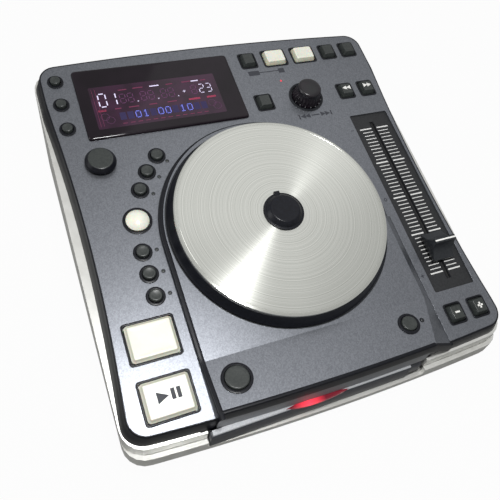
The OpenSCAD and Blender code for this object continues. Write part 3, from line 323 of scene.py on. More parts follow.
def milky_acrylic():
    """Milky keys lit from inside: near white on top and a darker greenish cream down the sides, light spreading
    within. The cream is the acrylic's own, and the sides' darkness is painted shade, set by how far a face turns from
    the panel's normal.
    """
    made, tree, shader = material("milky_acrylic", "#eef0e4", 0.3, 0.0, Subsurface_Weight=0.15, Subsurface_Scale=0.001)
    facing = add(tree, "TexCoord").outputs["Normal"]
    # painted shade: faces that turn away from the panel's normal take the darker cream
    painted_shade_tilt = add(tree, "VectorMath", {"operation": "DOT_PRODUCT"}, in0=facing, in1=tuple(PANEL_UP))
    tone = toned(tree, painted_shade_tilt.outputs["Value"], ("#cccbb0", "#eeeee0"), (0.1, 0.85))
    place = add(tree, "TexCoord").outputs["Object"]
    cloud = add(tree, "TexNoise", Vector=place, Scale=1 / (6 * MM), Detail=2.0)
    veil = add(tree, "Mix", {"data_type": "RGBA", "blend_type": "MULTIPLY"}, in0=0.08,
               in6=tone, in7=cloud.outputs["Color"])
    tree.links.new(veil.outputs[2], shader.inputs["Base Color"])
    return made


def turned_aluminium():
    """Aluminium faced on a lathe: rings of fine tool marks, drawn about 0.5 mm apart so that they show, and a
    highlight stretched across them."""
    made, tree, shader = material("turned_aluminium", "#dcddd6", 0.23, 1.0, Anisotropic=0.88,
                                  Anisotropic_Rotation=0.25)
    ring = add(tree, "UVMap")
    around = add(tree, "Tangent", {"direction_type": "UV_MAP"})
    tree.links.new(around.outputs["Tangent"], shader.inputs["Tangent"])
    apart = add(tree, "SeparateXYZ", Vector=ring.outputs["UV"])
    marks = add(tree, "TexNoise", {"noise_dimensions": "1D"}, W=apart.outputs["Y"], Scale=1 / (0.55 * MM), Detail=3.0)
    tone = toned(tree, marks.outputs["Fac"], ("#c9cbc4", "#e4e5df"), (0.3, 0.7))
    tree.links.new(tone, shader.inputs["Base Color"])
    bumped(tree, shader, marks.outputs["Fac"], 0.12, 0.02)
    return made


def gloss_black(name="gloss_acrylic", colour="#140d14", roughness=0.09, gloss=0.3):
    """Dark acrylic or ABS with a polished face."""
    made, tree, shader = material(name, colour, roughness, 0.0, Specular_IOR_Level=gloss)
    speckled(tree, shader, (colour, "#1a121a"), 14.0)
    return made


def tube_glass():
    """The display tube behind its filter: deep plum that wanders a little, and a faint glow."""
    made, tree, shader = material("tube_filter", "#2a1024", 0.12, Emission_Color=linear("#4a1740"),
                                  Emission_Strength=0.05)
    speckled(tree, shader, ("#210b1e", "#35142f"), 11.0)
    return made


def glow(name, colour, strength):
    """A lit mark: its own colour and a steady glow."""
    made, tree, shader = material(name, colour, 0.5, Emission_Color=linear(colour), Emission_Strength=strength)
    speckled(tree, shader, (colour, colour), 1.0)
    return made


def print_ink(name, colour):
    """Screen-printed ink: one matt tone, with a fine grain."""
    made, tree, shader = material(name, colour, 0.6)
    speckled(tree, shader, (colour, colour), 0.4, 0.1, 0.2)
    return made


def lens_acrylic():
    """Red acrylic lens lit from behind: its light falls off over 9 mm from a place a little left of its middle."""
    made, tree, shader = material("red_acrylic", "#a81728", 0.15, Coat_Weight=0.4, Emission_Strength=0.75)
    low, high = world_box("tray_lens")
    hot = (low[0] + 0.36 * (high[0] - low[0])) * MM
    place = add(tree, "TexCoord").outputs["Object"]
    near = add(tree, "Mapping", Vector=place, Location=(-hot / (9 * MM), 0, 0), Scale=(1 / (9 * MM), 0, 0))
    ball = add(tree, "TexGradient", {"gradient_type": "SPHERICAL"}, Vector=near.outputs["Vector"])
    tone = toned(tree, ball.outputs["Fac"], ("#5e1420", "#ff4052"))
    for socket in ("Base Color", "Emission Color"):
        tree.links.new(tone, shader.inputs[socket])
    return made


def plain(name, colours, roughness, metallic=0.0, grain=2.0, bump=0.15):
    """A workaday material: two near tones and a light grain."""
    made, tree, shader = material(name, colours[0], roughness, metallic)
    speckled(tree, shader, colours, grain, bump, grain * 0.3)
    return made


silver = silver_moulding()
paint = flake_paint()
charcoal = charcoal_moulding()
lip_black = charcoal_moulding("lip_abs", ("#0b0c12", "#12141b"), 0.32, 0.25)  # blue-black, a low sheen
fader_black = charcoal_moulding("fader_abs", ("#1e1f21", "#27282a"), 0.55)  # matt, so that the ticks stand out
key_grey = key_plastic()
milky = milky_acrylic()
turned = turned_aluminium()
acrylic = gloss_black()
knob_black = gloss_black("knob_abs", "#141618", 0.3, 0.5)
tube = tube_glass()
white_ink = print_ink("white_ink", "#eeeeea")
dim_ink = print_ink("worn_ink", "#8f9092")
tick_ink = print_ink("scale_ink", "#dededc")
dark_ink = print_ink("dark_ink", "#33353c")
red_lens = lens_acrylic()
steel = plain("zinc_steel", ("#9ea2a6", "#b1b5b8"), 0.36, 1.0, 6.0)  # cool metal, clouded like plating
rubber = plain("moulded_rubber", ("#191919", "#222222"), 0.75, 0.0, 1.0, 0.3)  # no shine
board_green = plain("solder_resist", ("#1c5a34", "#246a3e"), 0.4)  # green under a thin gloss
brass = plain("turned_brass", ("#b8934a", "#c9a55c"), 0.3, 1.0, 1.0)  # warm metal
acetal = plain("natural_acetal", ("#e4e4df", "#edede9"), 0.45, 0.0, 3.0)  # off-white and waxy
shelf_paint = plain("shelf_paint", ("#b4b7bb", "#c6c8cb"), 0.4, 0.3, 0.5)  # pale silver that catches the light
painted_shade_grey = plain("wall_painted_shade", ("#76787c", "#828488"), 0.45, 0.2, 0.5)  # the case's silver paint as a mid grey: painted shade for the wall under the deck's lip
face_grey = charcoal_moulding("tray_abs", ("#37393e", "#414348"), 0.4)  # dark, but lighter than the lip

BY_SLOT = {
    "silver_case": silver, "panel_grey": paint, "black_plastic": charcoal, "gloss_black": acrylic,
    "steel": steel, "platter_aluminium": turned, "rubber": rubber, "key_grey": key_grey,
    "milky_plastic": milky, "board_green": board_green, "brass": brass, "white_plastic": acetal,
    "red_lens": red_lens,
}
slot_of = {s["node"]: s["material_slot"] for s in frame["record"]["subparts"]}
for node, thing in frame["nodes"].items():
    thing.data.materials.clear()
    thing.data.materials.append(BY_SLOT[slot_of[node]])
frame["nodes"]["fader_plate"].data.materials[0] = fader_black


def trim(name, parts, finish=lip_black):
    """A piece of black trim that stays on the case."""
    piece(name, parts, "case", finish)


# ----------------
# Keys: each stands for its CAD solid, from its hidden flange up to a softly dished top

FLANGE = 0.9       # the solid's flange beyond the cap
FLANGE_T = 1.2     # the flange's thickness
ROUND_KEYS = ["title", "memory", "time", "echo", "flanger", "filter", "drag", "brake", "reverse"]
SQUARE_KEYS = ["flip", "loop_b", "exit", "next", "search_back", "search_forward", "bend_down", "bend_up"]
MILKY_KEYS = ["loop_a1", "loop_a2"]
PADS = ["cue", "play"]
FACET_KEYS = ["eject", "pitch"]
FACET_Z = world_box("eject_button")[1][2] - 1.6  # the deck's level part, below the top of its keys


def key_place(node):
    """Centre (u, v), cap size and the levels of the flange's foot and the cap's top."""
    low, high = panel_box(node)
    size = (high - low)[:2] - 2 * FLANGE
    return (low + high)[:2] / 2, size, low[2], high[2]


def flange(r, low):
    """The hidden flange and its step in to the cap's side, as (radius, height) pairs."""
    return [(r + FLANGE, low), (r + FLANGE, low + FLANGE_T), (r, low + FLANGE_T)]


def soft_top(r, top, depth):
    """A quarter round from the side r, then a dish: top less depth (1 - s s / 0.6) at s times r."""
    soft = 0.7
    a = np.linspace(0, math.pi / 2, 6)
    shoulder = list(zip(r - soft + soft * np.cos(a), top - soft + soft * np.sin(a)))
    return shoulder + [(r * s, top - depth * (1 - s * s / 0.6)) for s in (0.7, 0.5, 0.3, 0.1)]


def cap(key, part, finish=key_grey):
    """A key's cap, in place of its CAD solid."""
    piece(key + "_cap", [part], key + "_button", finish, (key + "_button",))


def round_key(key):
    """A turned cap with a soft shoulder and a dished top."""
    at, size, low, top = key_place(key + "_button")
    r = size[0] / 2
    cap(key, lathe(flange(r, low) + [(r, 0.1)] + soft_top(r, top, 0.25), at, 56))


def square_key(key, finish, taper, soft, corner):
    """A tapered cap: it draws in by taper from the panel to the shoulder, with a quarter round and a light dish."""
    at, size, low, top = key_place(key + "_button")
    a = np.linspace(0, math.pi / 2, 6)
    shoulder = list(zip(taper + soft * (1 - np.cos(a)), top - soft + soft * np.sin(a)))
    dish = [(taper + soft + d, top - 0.12 * min(1.0, d / 2)) for d in (0.5, 1.2, 2.0)]
    levels = [(-FLANGE, low), (-FLANGE, low + FLANGE_T), (0, low + FLANGE_T), (0, 0.2)] + shoulder + dish
    cap(key, key_block(at, size, corner, levels), finish)


for key in ROUND_KEYS:
    round_key(key)
for key in SQUARE_KEYS:
    square_key(key, key_grey, 1.2, 0.35, 1.5)
for key in MILKY_KEYS:
    square_key(key, milky, 0.9, 0.7, 2.0)
for key in PADS:
    square_key(key, milky, 1.1, 0.7, 1.8)


def tap_key():
    """The large key: a black flare from 8.4 mm, high enough to be pressed, in to the top's radius, and a satin top
    let into it."""
    at, size, low, top = key_place("tap_button")
    r, foot = size[0] / 2, 2.35
    flare = [
        (r, foot), (8.0, foot), (8.4, foot + 0.1), (8.35, foot + 0.4), (7.6, 3.8), (r + 0.75, top - 0.5),
        (r + 0.55, top - 0.12), (r + 0.3, top), (r, top), (r - 0.2, top - 0.15),
    ]
    piece("tap_flare", [lathe(flange(r, low) + flare, at)], "tap_button", lip_black, ("tap_button",))
    face = [
        (r + 0.25, top - 0.4), (r + 0.25, top), (r, top + 0.12), (r - 0.6, top + 0.15), (2.0, top - 0.05),
        (0.1, top - 0.05),
    ]
    piece("tap_face", [lathe(face, at)], "tap_button", key_grey)


tap_key()


def mode_dome():
    """The lit dome: a cap of a ball, its radius from the rise and the foot, on a short upright side."""
    at, size, low, top = key_place("mode_button")
    r, foot = size[0] / 2, 1.0
    rise = top - foot
    ball = (r * r + rise * rise) / (2 * rise)
    tilt = np.linspace(math.asin(r / ball), 0.03, 12)
    dome = list(zip(ball * np.sin(tilt), top - ball + ball * np.cos(tilt)))
    cap("mode", lathe(flange(r, low) + dome, at), milky)


mode_dome()


def facet_lathe(profile, centre, count=64, closed=False):
    """A profile of (radius, z) pairs turned about an upright axis, in world mm."""
    return shell([
        np.column_stack([circle(r, count) + centre[:2], np.full(count, z)]) * MM for r, z in profile
    ], closed)


def facet_key(key):
    """A round key on the deck's level part, pressed straight down."""
    low, high = world_box(key + "_button")
    r = (high - low)[0] / 2 - FLANGE
    cap(key, facet_lathe(flange(r, low[2]) + soft_top(r, high[2], 0.2), (low + high) / 2))


for key in FACET_KEYS:
    facet_key(key)

# ----------------
# Collars: rounded black rings over the cover's collars

GAP = 0.3          # play between a cap and its hole
COLLAR_W = 1.3     # width of a round collar
BEZEL_W = 1.0      # width of a square one
COLLAR_TOP = 0.6   # the solid collar's height
BEZEL_TOP = 0.2    # and the solid bezel's
PROUD = 0.12       # how far a drawn collar stands over the solid one
COVERED = 0.02     # and how far it reaches inside it


def collar_profile(inner, width, crown):
    """Inner side, round top and outer side of a collar, as (offset, w) pairs, just over the solid one."""
    return [
        (inner, -1.0), (inner, crown - 0.25), (inner + 0.12, crown - 0.05), (inner + 0.35, crown),
        (inner + width - 0.4, crown), (inner + width - 0.02, crown - 0.12), (inner + width + 0.06, -0.05),
        (inner + width + 0.1, -0.6), (inner + width - 0.3, -1.0),
    ]


def round_collar(node):
    """A turned ring round a button."""
    at, size = key_place(node)[:2]
    return lathe(collar_profile(size[0] / 2 + GAP - COVERED, COLLAR_W, COLLAR_TOP + PROUD), at, 64, closed=True)


def square_collar(node):
    """The same profile, lower, carried round a square button."""
    at, size = key_place(node)[:2]
    levels = [(-o, w) for o, w in collar_profile(GAP - COVERED, BEZEL_W, BEZEL_TOP + PROUD)]
    return key_block(at, size, 1.2, levels, closed=True)


rings = [round_collar(k + "_button") for k in ROUND_KEYS + ["tap", "mode"]]
rings += [square_collar(k + "_button") for k in SQUARE_KEYS + MILKY_KEYS + PADS]
trim("control_collars", rings)


def facet_collar(key):
    """A ring round a key on the deck's level part."""
    low, high = world_box(key + "_button")
    r = (high - low)[0] / 2 - FLANGE + GAP - COVERED
    profile = [(o, w + FACET_Z) for o, w in collar_profile(r, COLLAR_W + 0.2, COLLAR_TOP + PROUD)]
    return facet_lathe(profile, (low + high) / 2, closed=True)


trim("deck_collars", [facet_collar(k) for k in FACET_KEYS])

# ----------------
# The panel's black lip, and the deck's lip and left wall

CASE_W = world_box("side_case")[1][0] - world_box("side_case")[0][0]
PANEL_HALF = CASE_W / 2 - 4.2      # half the panel's width at its widest
WAIST = PANEL_HALF - 3.9           # and at its waist
WAIST_V, WAIST_R = 9.0, 950.0      # the waist's place up the slope, and its curve
FRONT_V, FRONT_R = 91.5, 1400.0    # the front edge's distance from the axis, and its bow
REAR_V, REAR_R = 127.8, 1700.0     # the same for the rear edge
CORNER_R = 9.0                     # its corners
DECK_R = 65.5                      # the raised deck's left side, and its curve round the platter
DECK_RIGHT = 67.0                  # the deck's right side
DECK_RISE = 2.9                    # its height over the wings
LIP_H = 7.4                        # height of the black lip


def half_outline(start, count=40):
    """One half of the panel's edge as (u, v), from u = start on the front to the middle of the rear: the front's
    bow, a corner arc, the waisted side, a corner arc and the rear's bow."""
    centre = PANEL_HALF - CORNER_R
    low = -FRONT_V + centre ** 2 / (2 * FRONT_R) + CORNER_R
    high = REAR_V - centre ** 2 / (2 * REAR_R) - CORNER_R
    x = np.linspace(start, centre, 16)
    front = np.stack([x, -FRONT_V + x ** 2 / (2 * FRONT_R)], -1)
    a = np.linspace(-math.pi / 2, 0, 10)[1:]
    corner_front = np.stack([centre + CORNER_R * np.cos(a), low + CORNER_R * np.sin(a)], -1)
    v = np.linspace(low, high, count)[1:-1]
    side = np.stack([np.minimum(PANEL_HALF, WAIST + (v - WAIST_V) ** 2 / (2 * WAIST_R)), v], -1)
    a = np.linspace(0, math.pi / 2, 10)
    corner_rear = np.stack([centre + CORNER_R * np.cos(a), high + CORNER_R * np.sin(a)], -1)
    x = np.linspace(centre, 0, 20)[1:]
    rear = np.stack([x, REAR_V - x ** 2 / (2 * REAR_R)], -1)
    return np.vstack([front, corner_front, side, corner_rear, rear])


def plan_normals(path):
    """Level unit vectors square to a path, to its right as it goes."""
    along = np.gradient(path, axis=0)
    side = np.stack([along[:, 1], -along[:, 0], np.zeros(len(path))], -1)
    return side / np.linalg.norm(side, axis=1, keepdims=True)


def panel_lip():
    """The lip round both wings, open at the deck: a round brow, then a face that leans out by 1.7 mm at the front
    and the rear and by 3.5 mm at the sides: lean = 1.7 + 1.8 n n for the sideways part n of its normal."""
    edge = np.vstack([half_outline(DECK_RIGHT), (half_outline(DECK_R + 0.3) * (-1, 1))[::-1][1:]])
    path = on_panel(np.column_stack([edge, np.zeros(len(edge))])) / MM
    side = plan_normals(path)
    lean = 1.7 + 1.8 * side[:, 0] ** 2
    side[:, 2] = side[:, 1] * TAN_SLOPE
    fall = LIP_H / math.cos(SLOPE)
    brow = np.array([(0.02, 0.1), (0.25, 0.16), (0.55, 0.05), (0.8, -0.3), (0.9, -0.8)])
    face = np.array([(0.0, -0.8), (0.35, -3.0), (1.0, -fall + 0.4), (1.0, -fall), (0.8, -fall - 0.1)])[1:]
    foot = np.array([(0.02, -fall - 0.1)])
    profile = np.array([
        np.vstack([brow, np.column_stack([0.9 + face[:, 0] * (reach - 0.9), face[:, 1]]), foot]) for reach in lean
    ])
    return sweep(path, side, profile)


trim("panel_lip", [panel_lip()])

DECK_FRONT_Y = AXIS[1] / MM - FRONT_V * math.cos(SLOPE) - DECK_RISE * math.sin(SLOPE) - 0.7
BOW_R = 1600.0                        # the front's bow
CHAMFER = math.tan(math.radians(31))  # the slope from the deck down to the right wing
WALL_FOOT = 32.6                      # foot of the grey wall over the tray


def deck_front_path(x):
    """The deck's upper front edge at x, in mm: level, then down the right slope to the wing."""
    y = DECK_FRONT_Y + x ** 2 / (2 * BOW_R)
    wing_z = AXIS[2] / MM + (y - AXIS[1] / MM) * TAN_SLOPE
    z = np.minimum(FACET_Z, wing_z + np.maximum(DECK_RIGHT - x, 0) * CHAMFER / math.cos(SLOPE))
    path = np.stack([x, y, z], -1)
    return path, plan_normals(path)


def deck_front_lip():
    """The black lip along the deck's front edge: it laps over the deck, and leans out by 1 mm."""
    x = np.concatenate([np.linspace(-DECK_R + 1.0, 50, 30), np.linspace(51, DECK_RIGHT + 1.2, 22)])
    drop = LIP_H - 0.6
    profile = [
        (-1.3, 0.02), (-1.1, 0.13), (-0.3, 0.16), (0.2, 0.05), (0.5, -0.4), (0.65, -1.1), (0.95, -drop + 0.3),
        (0.95, -drop), (0.7, -drop - 0.1), (-1.3, -drop - 0.1),
    ]
    return sweep(*deck_front_path(x), profile)


def deck_front_wall():
    """The wall between the deck's lip and the tray, in a mid grey that is painted shade under the lip."""
    x = np.linspace(-DECK_R + 0.1, 52, 30)
    high, low = -LIP_H + 0.5, WALL_FOOT - FACET_Z
    profile = [(0.85, high), (0.85, low + 0.2), (0.65, low), (-0.3, low), (-0.3, high)]
    return sweep(*deck_front_path(x), profile)


def deck_side_wall():
    """The black shoulder up the deck's left side and round behind the platter. It laps over the deck's top, and
    narrows to nothing behind the platter."""
    front_v = (DECK_FRONT_Y - AXIS[1] / MM) / math.cos(SLOPE)
    a = np.linspace(180, 100, 56) * math.pi / 180
    plan = np.vstack([
        np.stack([np.full(40, -DECK_R), np.linspace(front_v + 0.3, -1, 40)], -1),
        np.stack([DECK_R * np.cos(a), DECK_R * np.sin(a)], -1),
    ])
    top = np.maximum(DECK_RISE, (FACET_Z - AXIS[2] / MM - plan[:, 1] * math.sin(SLOPE)) / math.cos(SLOPE))
    lap = np.clip((len(plan) - 1 - np.arange(len(plan))) / 34, 0.12, 1)
    along = np.gradient(plan, axis=0)
    out = np.stack([-along[:, 1], along[:, 0]], -1)
    out /= np.linalg.norm(out, axis=1, keepdims=True)
    over = np.array([(-2.2, -0.1), (-2.2, 0.04), (-2.0, 0.13), (-1.0, 0.18), (-0.3, 0.1), (0.1, -0.35), (0.3, -1.1)])
    rings = []
    for spot, way, height, part in zip(plan, out, top, lap):
        offset = np.concatenate([np.where(over[:, 0] < 0, over[:, 0] * part, over[:, 0]), [0.4, 0.4, -0.35, -0.35]])
        rise = np.concatenate([height + over[:, 1], [0.05, -0.1, -0.1, height - 0.12]])
        rings.append(on_panel(np.column_stack([spot + way * offset[:, None], rise])))
    return shell(rings)


trim("deck_front_lip", [deck_front_lip()])
trim("deck_side_wall", [deck_side_wall()])
# the wall under the deck's lip takes painted shade: a grey copy of the case's silver paint
piece("deck_front_wall", [deck_front_wall()], "case", painted_shade_grey)

# ----------------
# Platter


def platter_top():
    """The disc: rings of radius r with a raised bead and a groove near the rim. Its own map holds the angle and
    the radius, so that the tool marks run round."""
    low, high = panel_box("platter_disc")
    r, top, foot = (high[0] - low[0]) / 2, high[2], low[2]
    profile = [
        (3.0, foot), (r - 0.4, foot), (r, foot + 0.4), (r, top - 0.5), (r - 0.15, top - 0.15), (r - 0.5, top),
        (r - 1.6, top), (r - 1.75, top - 0.12), (r - 2.0, top - 0.12), (r - 2.15, top),
        (46.0, top), (34.0, top), (22.0, top), (10.0, top), (3.0, top),
    ]
    thing = piece("platter_face", [lathe(profile, (0, 0), 192, closed=True)], "platter", turned,
                  ("platter_disc",))
    mesh = thing.data
    u, v, _ = panel_places(mesh)[numbers(mesh.loops, "vertex_index")].T
    turn = np.arctan2(v, u) / (2 * math.pi)
    starts = numbers(mesh.polygons, "loop_start")
    apart = turn - np.repeat(turn[starts], numbers(mesh.polygons, "loop_total"))
    turn += (apart < -0.5) * 1.0 - (apart > 0.5) * 1.0
    layer = mesh.uv_layers.new(name="turned")
    layer.data.foreach_set("uv", np.column_stack([turn, np.hypot(u, v) * MM]).ravel())


def platter_skirt():
    """The rim's flared skirt: from under the disc out to a foot with a small rounded flange."""
    low, high = panel_box("platter_rim")
    r, foot, top = (high[0] - low[0]) / 2, low[2], high[2]
    skirt = 2.4
    profile = [
        (2.9, top - 2.0), (57.0, top - 2.0), (r - 2.6, skirt + 0.2), (r - 2.2, skirt), (r - 0.3, skirt),
        (r, skirt + 0.3), (r - 0.05, skirt + 1.0), (r - 0.6, skirt + 1.6), (r - 1.3, skirt + 4.2),
        (59.35, top - 0.9), (59.2, top - 0.2), (58.6, top), (2.9, top),
    ]
    hub = [(2.9, foot), (8.0, foot), (8.0, top - 1.9), (2.9, top - 1.9)]
    piece("platter_skirt", [lathe(profile, (0, 0), 160, closed=True), lathe(hub, (0, 0), 64, closed=True)],
          "platter", lip_black, ("platter_rim",))


def hub_top():
    """The hub cap: a skirted foot, a hollow flare and a slightly domed top, with its pointer tab."""
    low, high = panel_box("hub_cap")
    foot, top, r, r_top = low[2], high[2], 11.3, 8.3
    waist, neck = r - 1.2, r_top + 0.35
    flare = [
        (waist + (neck - waist) * t, foot + 1.0 + (top - foot - 1.7) * t ** 0.8) for t in np.linspace(0, 1, 8)
    ]
    profile = [(r - 0.2, foot), (r, foot + 0.25), (r - 0.15, foot + 0.8), (r - 0.8, foot + 1.0)] + flare
    profile += [
        (r_top, top - 0.35), (r_top - 0.35, top - 0.08), (r_top - 1.0, top), (r_top - 1.5, top - 0.1),
        (4.0, top - 0.12), (0.5, top - 0.12),
    ]
    plan = np.array([(-1.9, r - 2.6), (1.9, r - 2.6), (1.5, r + 1.15), (-1.5, r + 1.15)])
    tab = [
        lifted(plan * s, (0, (1 - s) * r), w) for s, w in ((1.0, foot), (1.0, foot + 0.9), (0.86, foot + 1.15))
    ]
    piece("hub_cap_top", [lathe(profile, (0, 0), 96), shell(tab)], "platter", lip_black, ("hub_cap",))


platter_top()
platter_skirt()
hub_top()

# ----------------
# Push knob


def push_knob():
    """A fluted skirt that flares to its foot, a waist, and a domed glossy grip. Its top is drawn 1 mm below the
    solid's, as the photograph has it."""
    low, high = panel_box("parameter_knob")
    at, foot, top = (low + high)[:2] / 2, low[2], high[2] - 1.0
    r, grip = 9.2, 7.2
    skirt = [
        (r - 0.3, foot, 0.0), (r, foot + 0.3, 0.5), (r - 0.05, foot + 1.5, 0.9), (r - 0.7, foot + 2.6, 0.9),
        (grip + 1.3, foot + 3.7, 0.6), (grip + 0.35, foot + 4.9, 0.25), (grip - 0.1, foot + 6.2, 0.0),
        (grip - 0.15, top - 3.2, 0.0), (grip, top - 2.6, 0.0), (grip + 0.1, top - 2.0, 0.0),
        (grip, top - 1.55, 0.0), (grip - 0.35, top - 1.2, 0.0),
    ]
    dome = [((grip - 0.4) * math.cos(t), top - 1.15 + 1.15 * math.sin(t), 0.0) for t in np.linspace(0.1, 1.5, 9)]
    rows = skirt + dome
    body = lathe([(a, b) for a, b, c in rows], at, 192, 24, [c for a, b, c in rows])
    piece("push_knob", [body], "parameter_knob", knob_black, ("parameter_knob",))
    a = np.radians(np.arange(200, 345, 22))
    dots = np.stack([(r + 0.02) * np.cos(a), (r + 0.02) * np.sin(a)], -1) + at
    piece("knob_dots", [slabs(dots, (0.36, 0.36), foot + 1.0, foot + 1.4)], "parameter_knob", dim_ink)
    ring = [
        (r + 0.62, -1.15), (r + 0.62, 0.5), (r + 0.8, 0.72), (r + 1.4, 0.72), (r + 1.85, 0.45), (r + 1.95, -0.5),
        (r + 1.5, -1.15),
    ]
    trim("knob_collar", [lathe(ring, at, 96, closed=True)])
    return at


knob_at = push_knob()

# ----------------
# Fader: saddle-shaped cap with a white line, and its scale of ticks

fader_low, fader_high = panel_box("fader_cap")
plate_low, plate_high = panel_box("fader_plate")
FADER_U = (plate_low[0] + plate_high[0]) / 2
FADER_V = (fader_low[1] + fader_high[1]) / 2


def fader_saddle():
    """The cap: a foot, then two hollow slopes up to a narrow ridge. Each ring is a slice across the slot."""
    half_w, half_d = (fader_high - fader_low)[:2] / 2
    foot, top = fader_low[2], fader_high[2]
    t = np.linspace(0, 1, 16)
    slope_v = 1.5 + (half_d - 1.5) * (1 - t) ** 2.4
    slope_w = foot + 2.0 + (top - foot - 2.0) * t
    outline_v = np.concatenate([[-half_d + 0.3, half_d - 0.3, half_d], slope_v, -slope_v[::-1], [-half_d]])
    outline_w = np.concatenate([[foot, foot, foot + 0.3], slope_w, slope_w[::-1], [foot + 0.3]])
    cuts = np.array([-half_w, -half_w + 0.15, -half_w + 0.5, half_w - 0.5, half_w - 0.15, half_w])
    shrink = np.array([0.5, 0.15, 0.0, 0.0, 0.15, 0.5])
    rings = []
    for u, s in zip(cuts, shrink):
        w = np.clip(outline_w, foot + s * 0.6, top - s)
        v = np.sign(outline_v) * np.maximum(np.abs(outline_v) - s * 0.6, 0.3)
        rings.append(on_panel(np.column_stack([np.full(len(v), FADER_U + u), FADER_V + v, w])))
    return shell(rings)


piece("fader_saddle", [fader_saddle()], "fader", charcoal, ("fader_cap",))
line = slabs((FADER_U, FADER_V), ((fader_high - fader_low)[0] - 0.2, 0.9), fader_high[2] - 0.5, fader_high[2] + 0.06)
piece("fader_line", [line], "fader", white_ink)

TICKS = 41
TICK_SPAN = (-51.5, 49.6)  # the first and last tick's places up the slope
SLOT_V = -1.0              # the slot's middle
PRINT = (-0.95, -0.85)     # foot and top of what is printed on the sunken plate
tenth = np.arange(TICKS) % 10 == 0
tick_long = np.where(tenth, 8.3, 7.2)
ticks = np.vstack([
    np.stack([FADER_U + side * (1.9 + tick_long / 2), np.linspace(*TICK_SPAN, TICKS)], -1) for side in (-1, 1)
])
tick_sizes = np.tile(np.column_stack([tick_long, np.where(tenth, 0.85, 0.5)]), (2, 1))
piece("fader_ticks", [slabs(ticks, tick_sizes, *PRINT)], "case", tick_ink)
edges = [(FADER_U - 1.3, SLOT_V), (FADER_U + 1.3, SLOT_V)]
trim("fader_slot_edge", [slabs(edges, (0.5, 111.0), *PRINT)])
lining = slabs((FADER_U, SLOT_V), (2.3, 110.6), -2.6, -2.1)
trim("fader_slot_lining", [lining], rubber)

# ----------------
# Display: a raised glossy window with the tube's face let into it

window_low, window_high = panel_box("display_window")
window_at = (window_low + window_high)[:2] / 2
window_size = (window_high - window_low)[:2]
WINDOW_TOP = window_high[2]


def window_block():
    """The window: upright sides, a bevel of about 1 mm and a level face."""
    bevel = [(0, -1.0), (0.12, -0.6), (0.5, -0.2), (1.0, -0.03), (1.5, 0), (2.4, 0)]
    return key_block(window_at, window_size, 2.2, [(0, -1.2)] + [(i, WINDOW_TOP + w) for i, w in bevel])


piece("display_glass", [window_block()], "case", acrylic, ("display_window",))
tube_low, tube_high = np.array([-80.5, 76.6]), np.array([-5.0, 106.0])  # (u, v) of the lit field in the window
tube_size = tube_high - tube_low
tube_at = (tube_low + tube_high) / 2
tube_levels = [(0, WINDOW_TOP - 0.4), (0, WINDOW_TOP + 0.02), (0.2, WINDOW_TOP + 0.03)]
piece("display_tube", [key_block(tube_at, tube_size, 0.8, tube_levels)], "case", tube)

SEGMENTS = {  # which bars a figure lights: top, upper right, lower right, foot, lower left, upper left, middle
    "0": "1111110", "1": "0110000", "2": "1101101", "3": "1111001", "8": "1111111",
}


def figure_bars(at, height, width, lit):
    """Rows of (u, v, width, height): a figure's lit or unlit bars."""
    h, w, t = height / 2, width, height * 0.075
    places = [(w / 2, height), (w, 1.5 * h), (w, h / 2), (w / 2, 0), (0, h / 2), (0, 1.5 * h), (w / 2, h)]
    flat = [True, False, False, True, False, False, True]
    rows = [
        (at[0] + x, at[1] + y, w - 2.2 * t if f else t, t if f else h - 2.2 * t)
        for (x, y), f, on in zip(places, flat, lit) if on == "1"
    ]
    return np.array(rows).reshape(-1, 4)


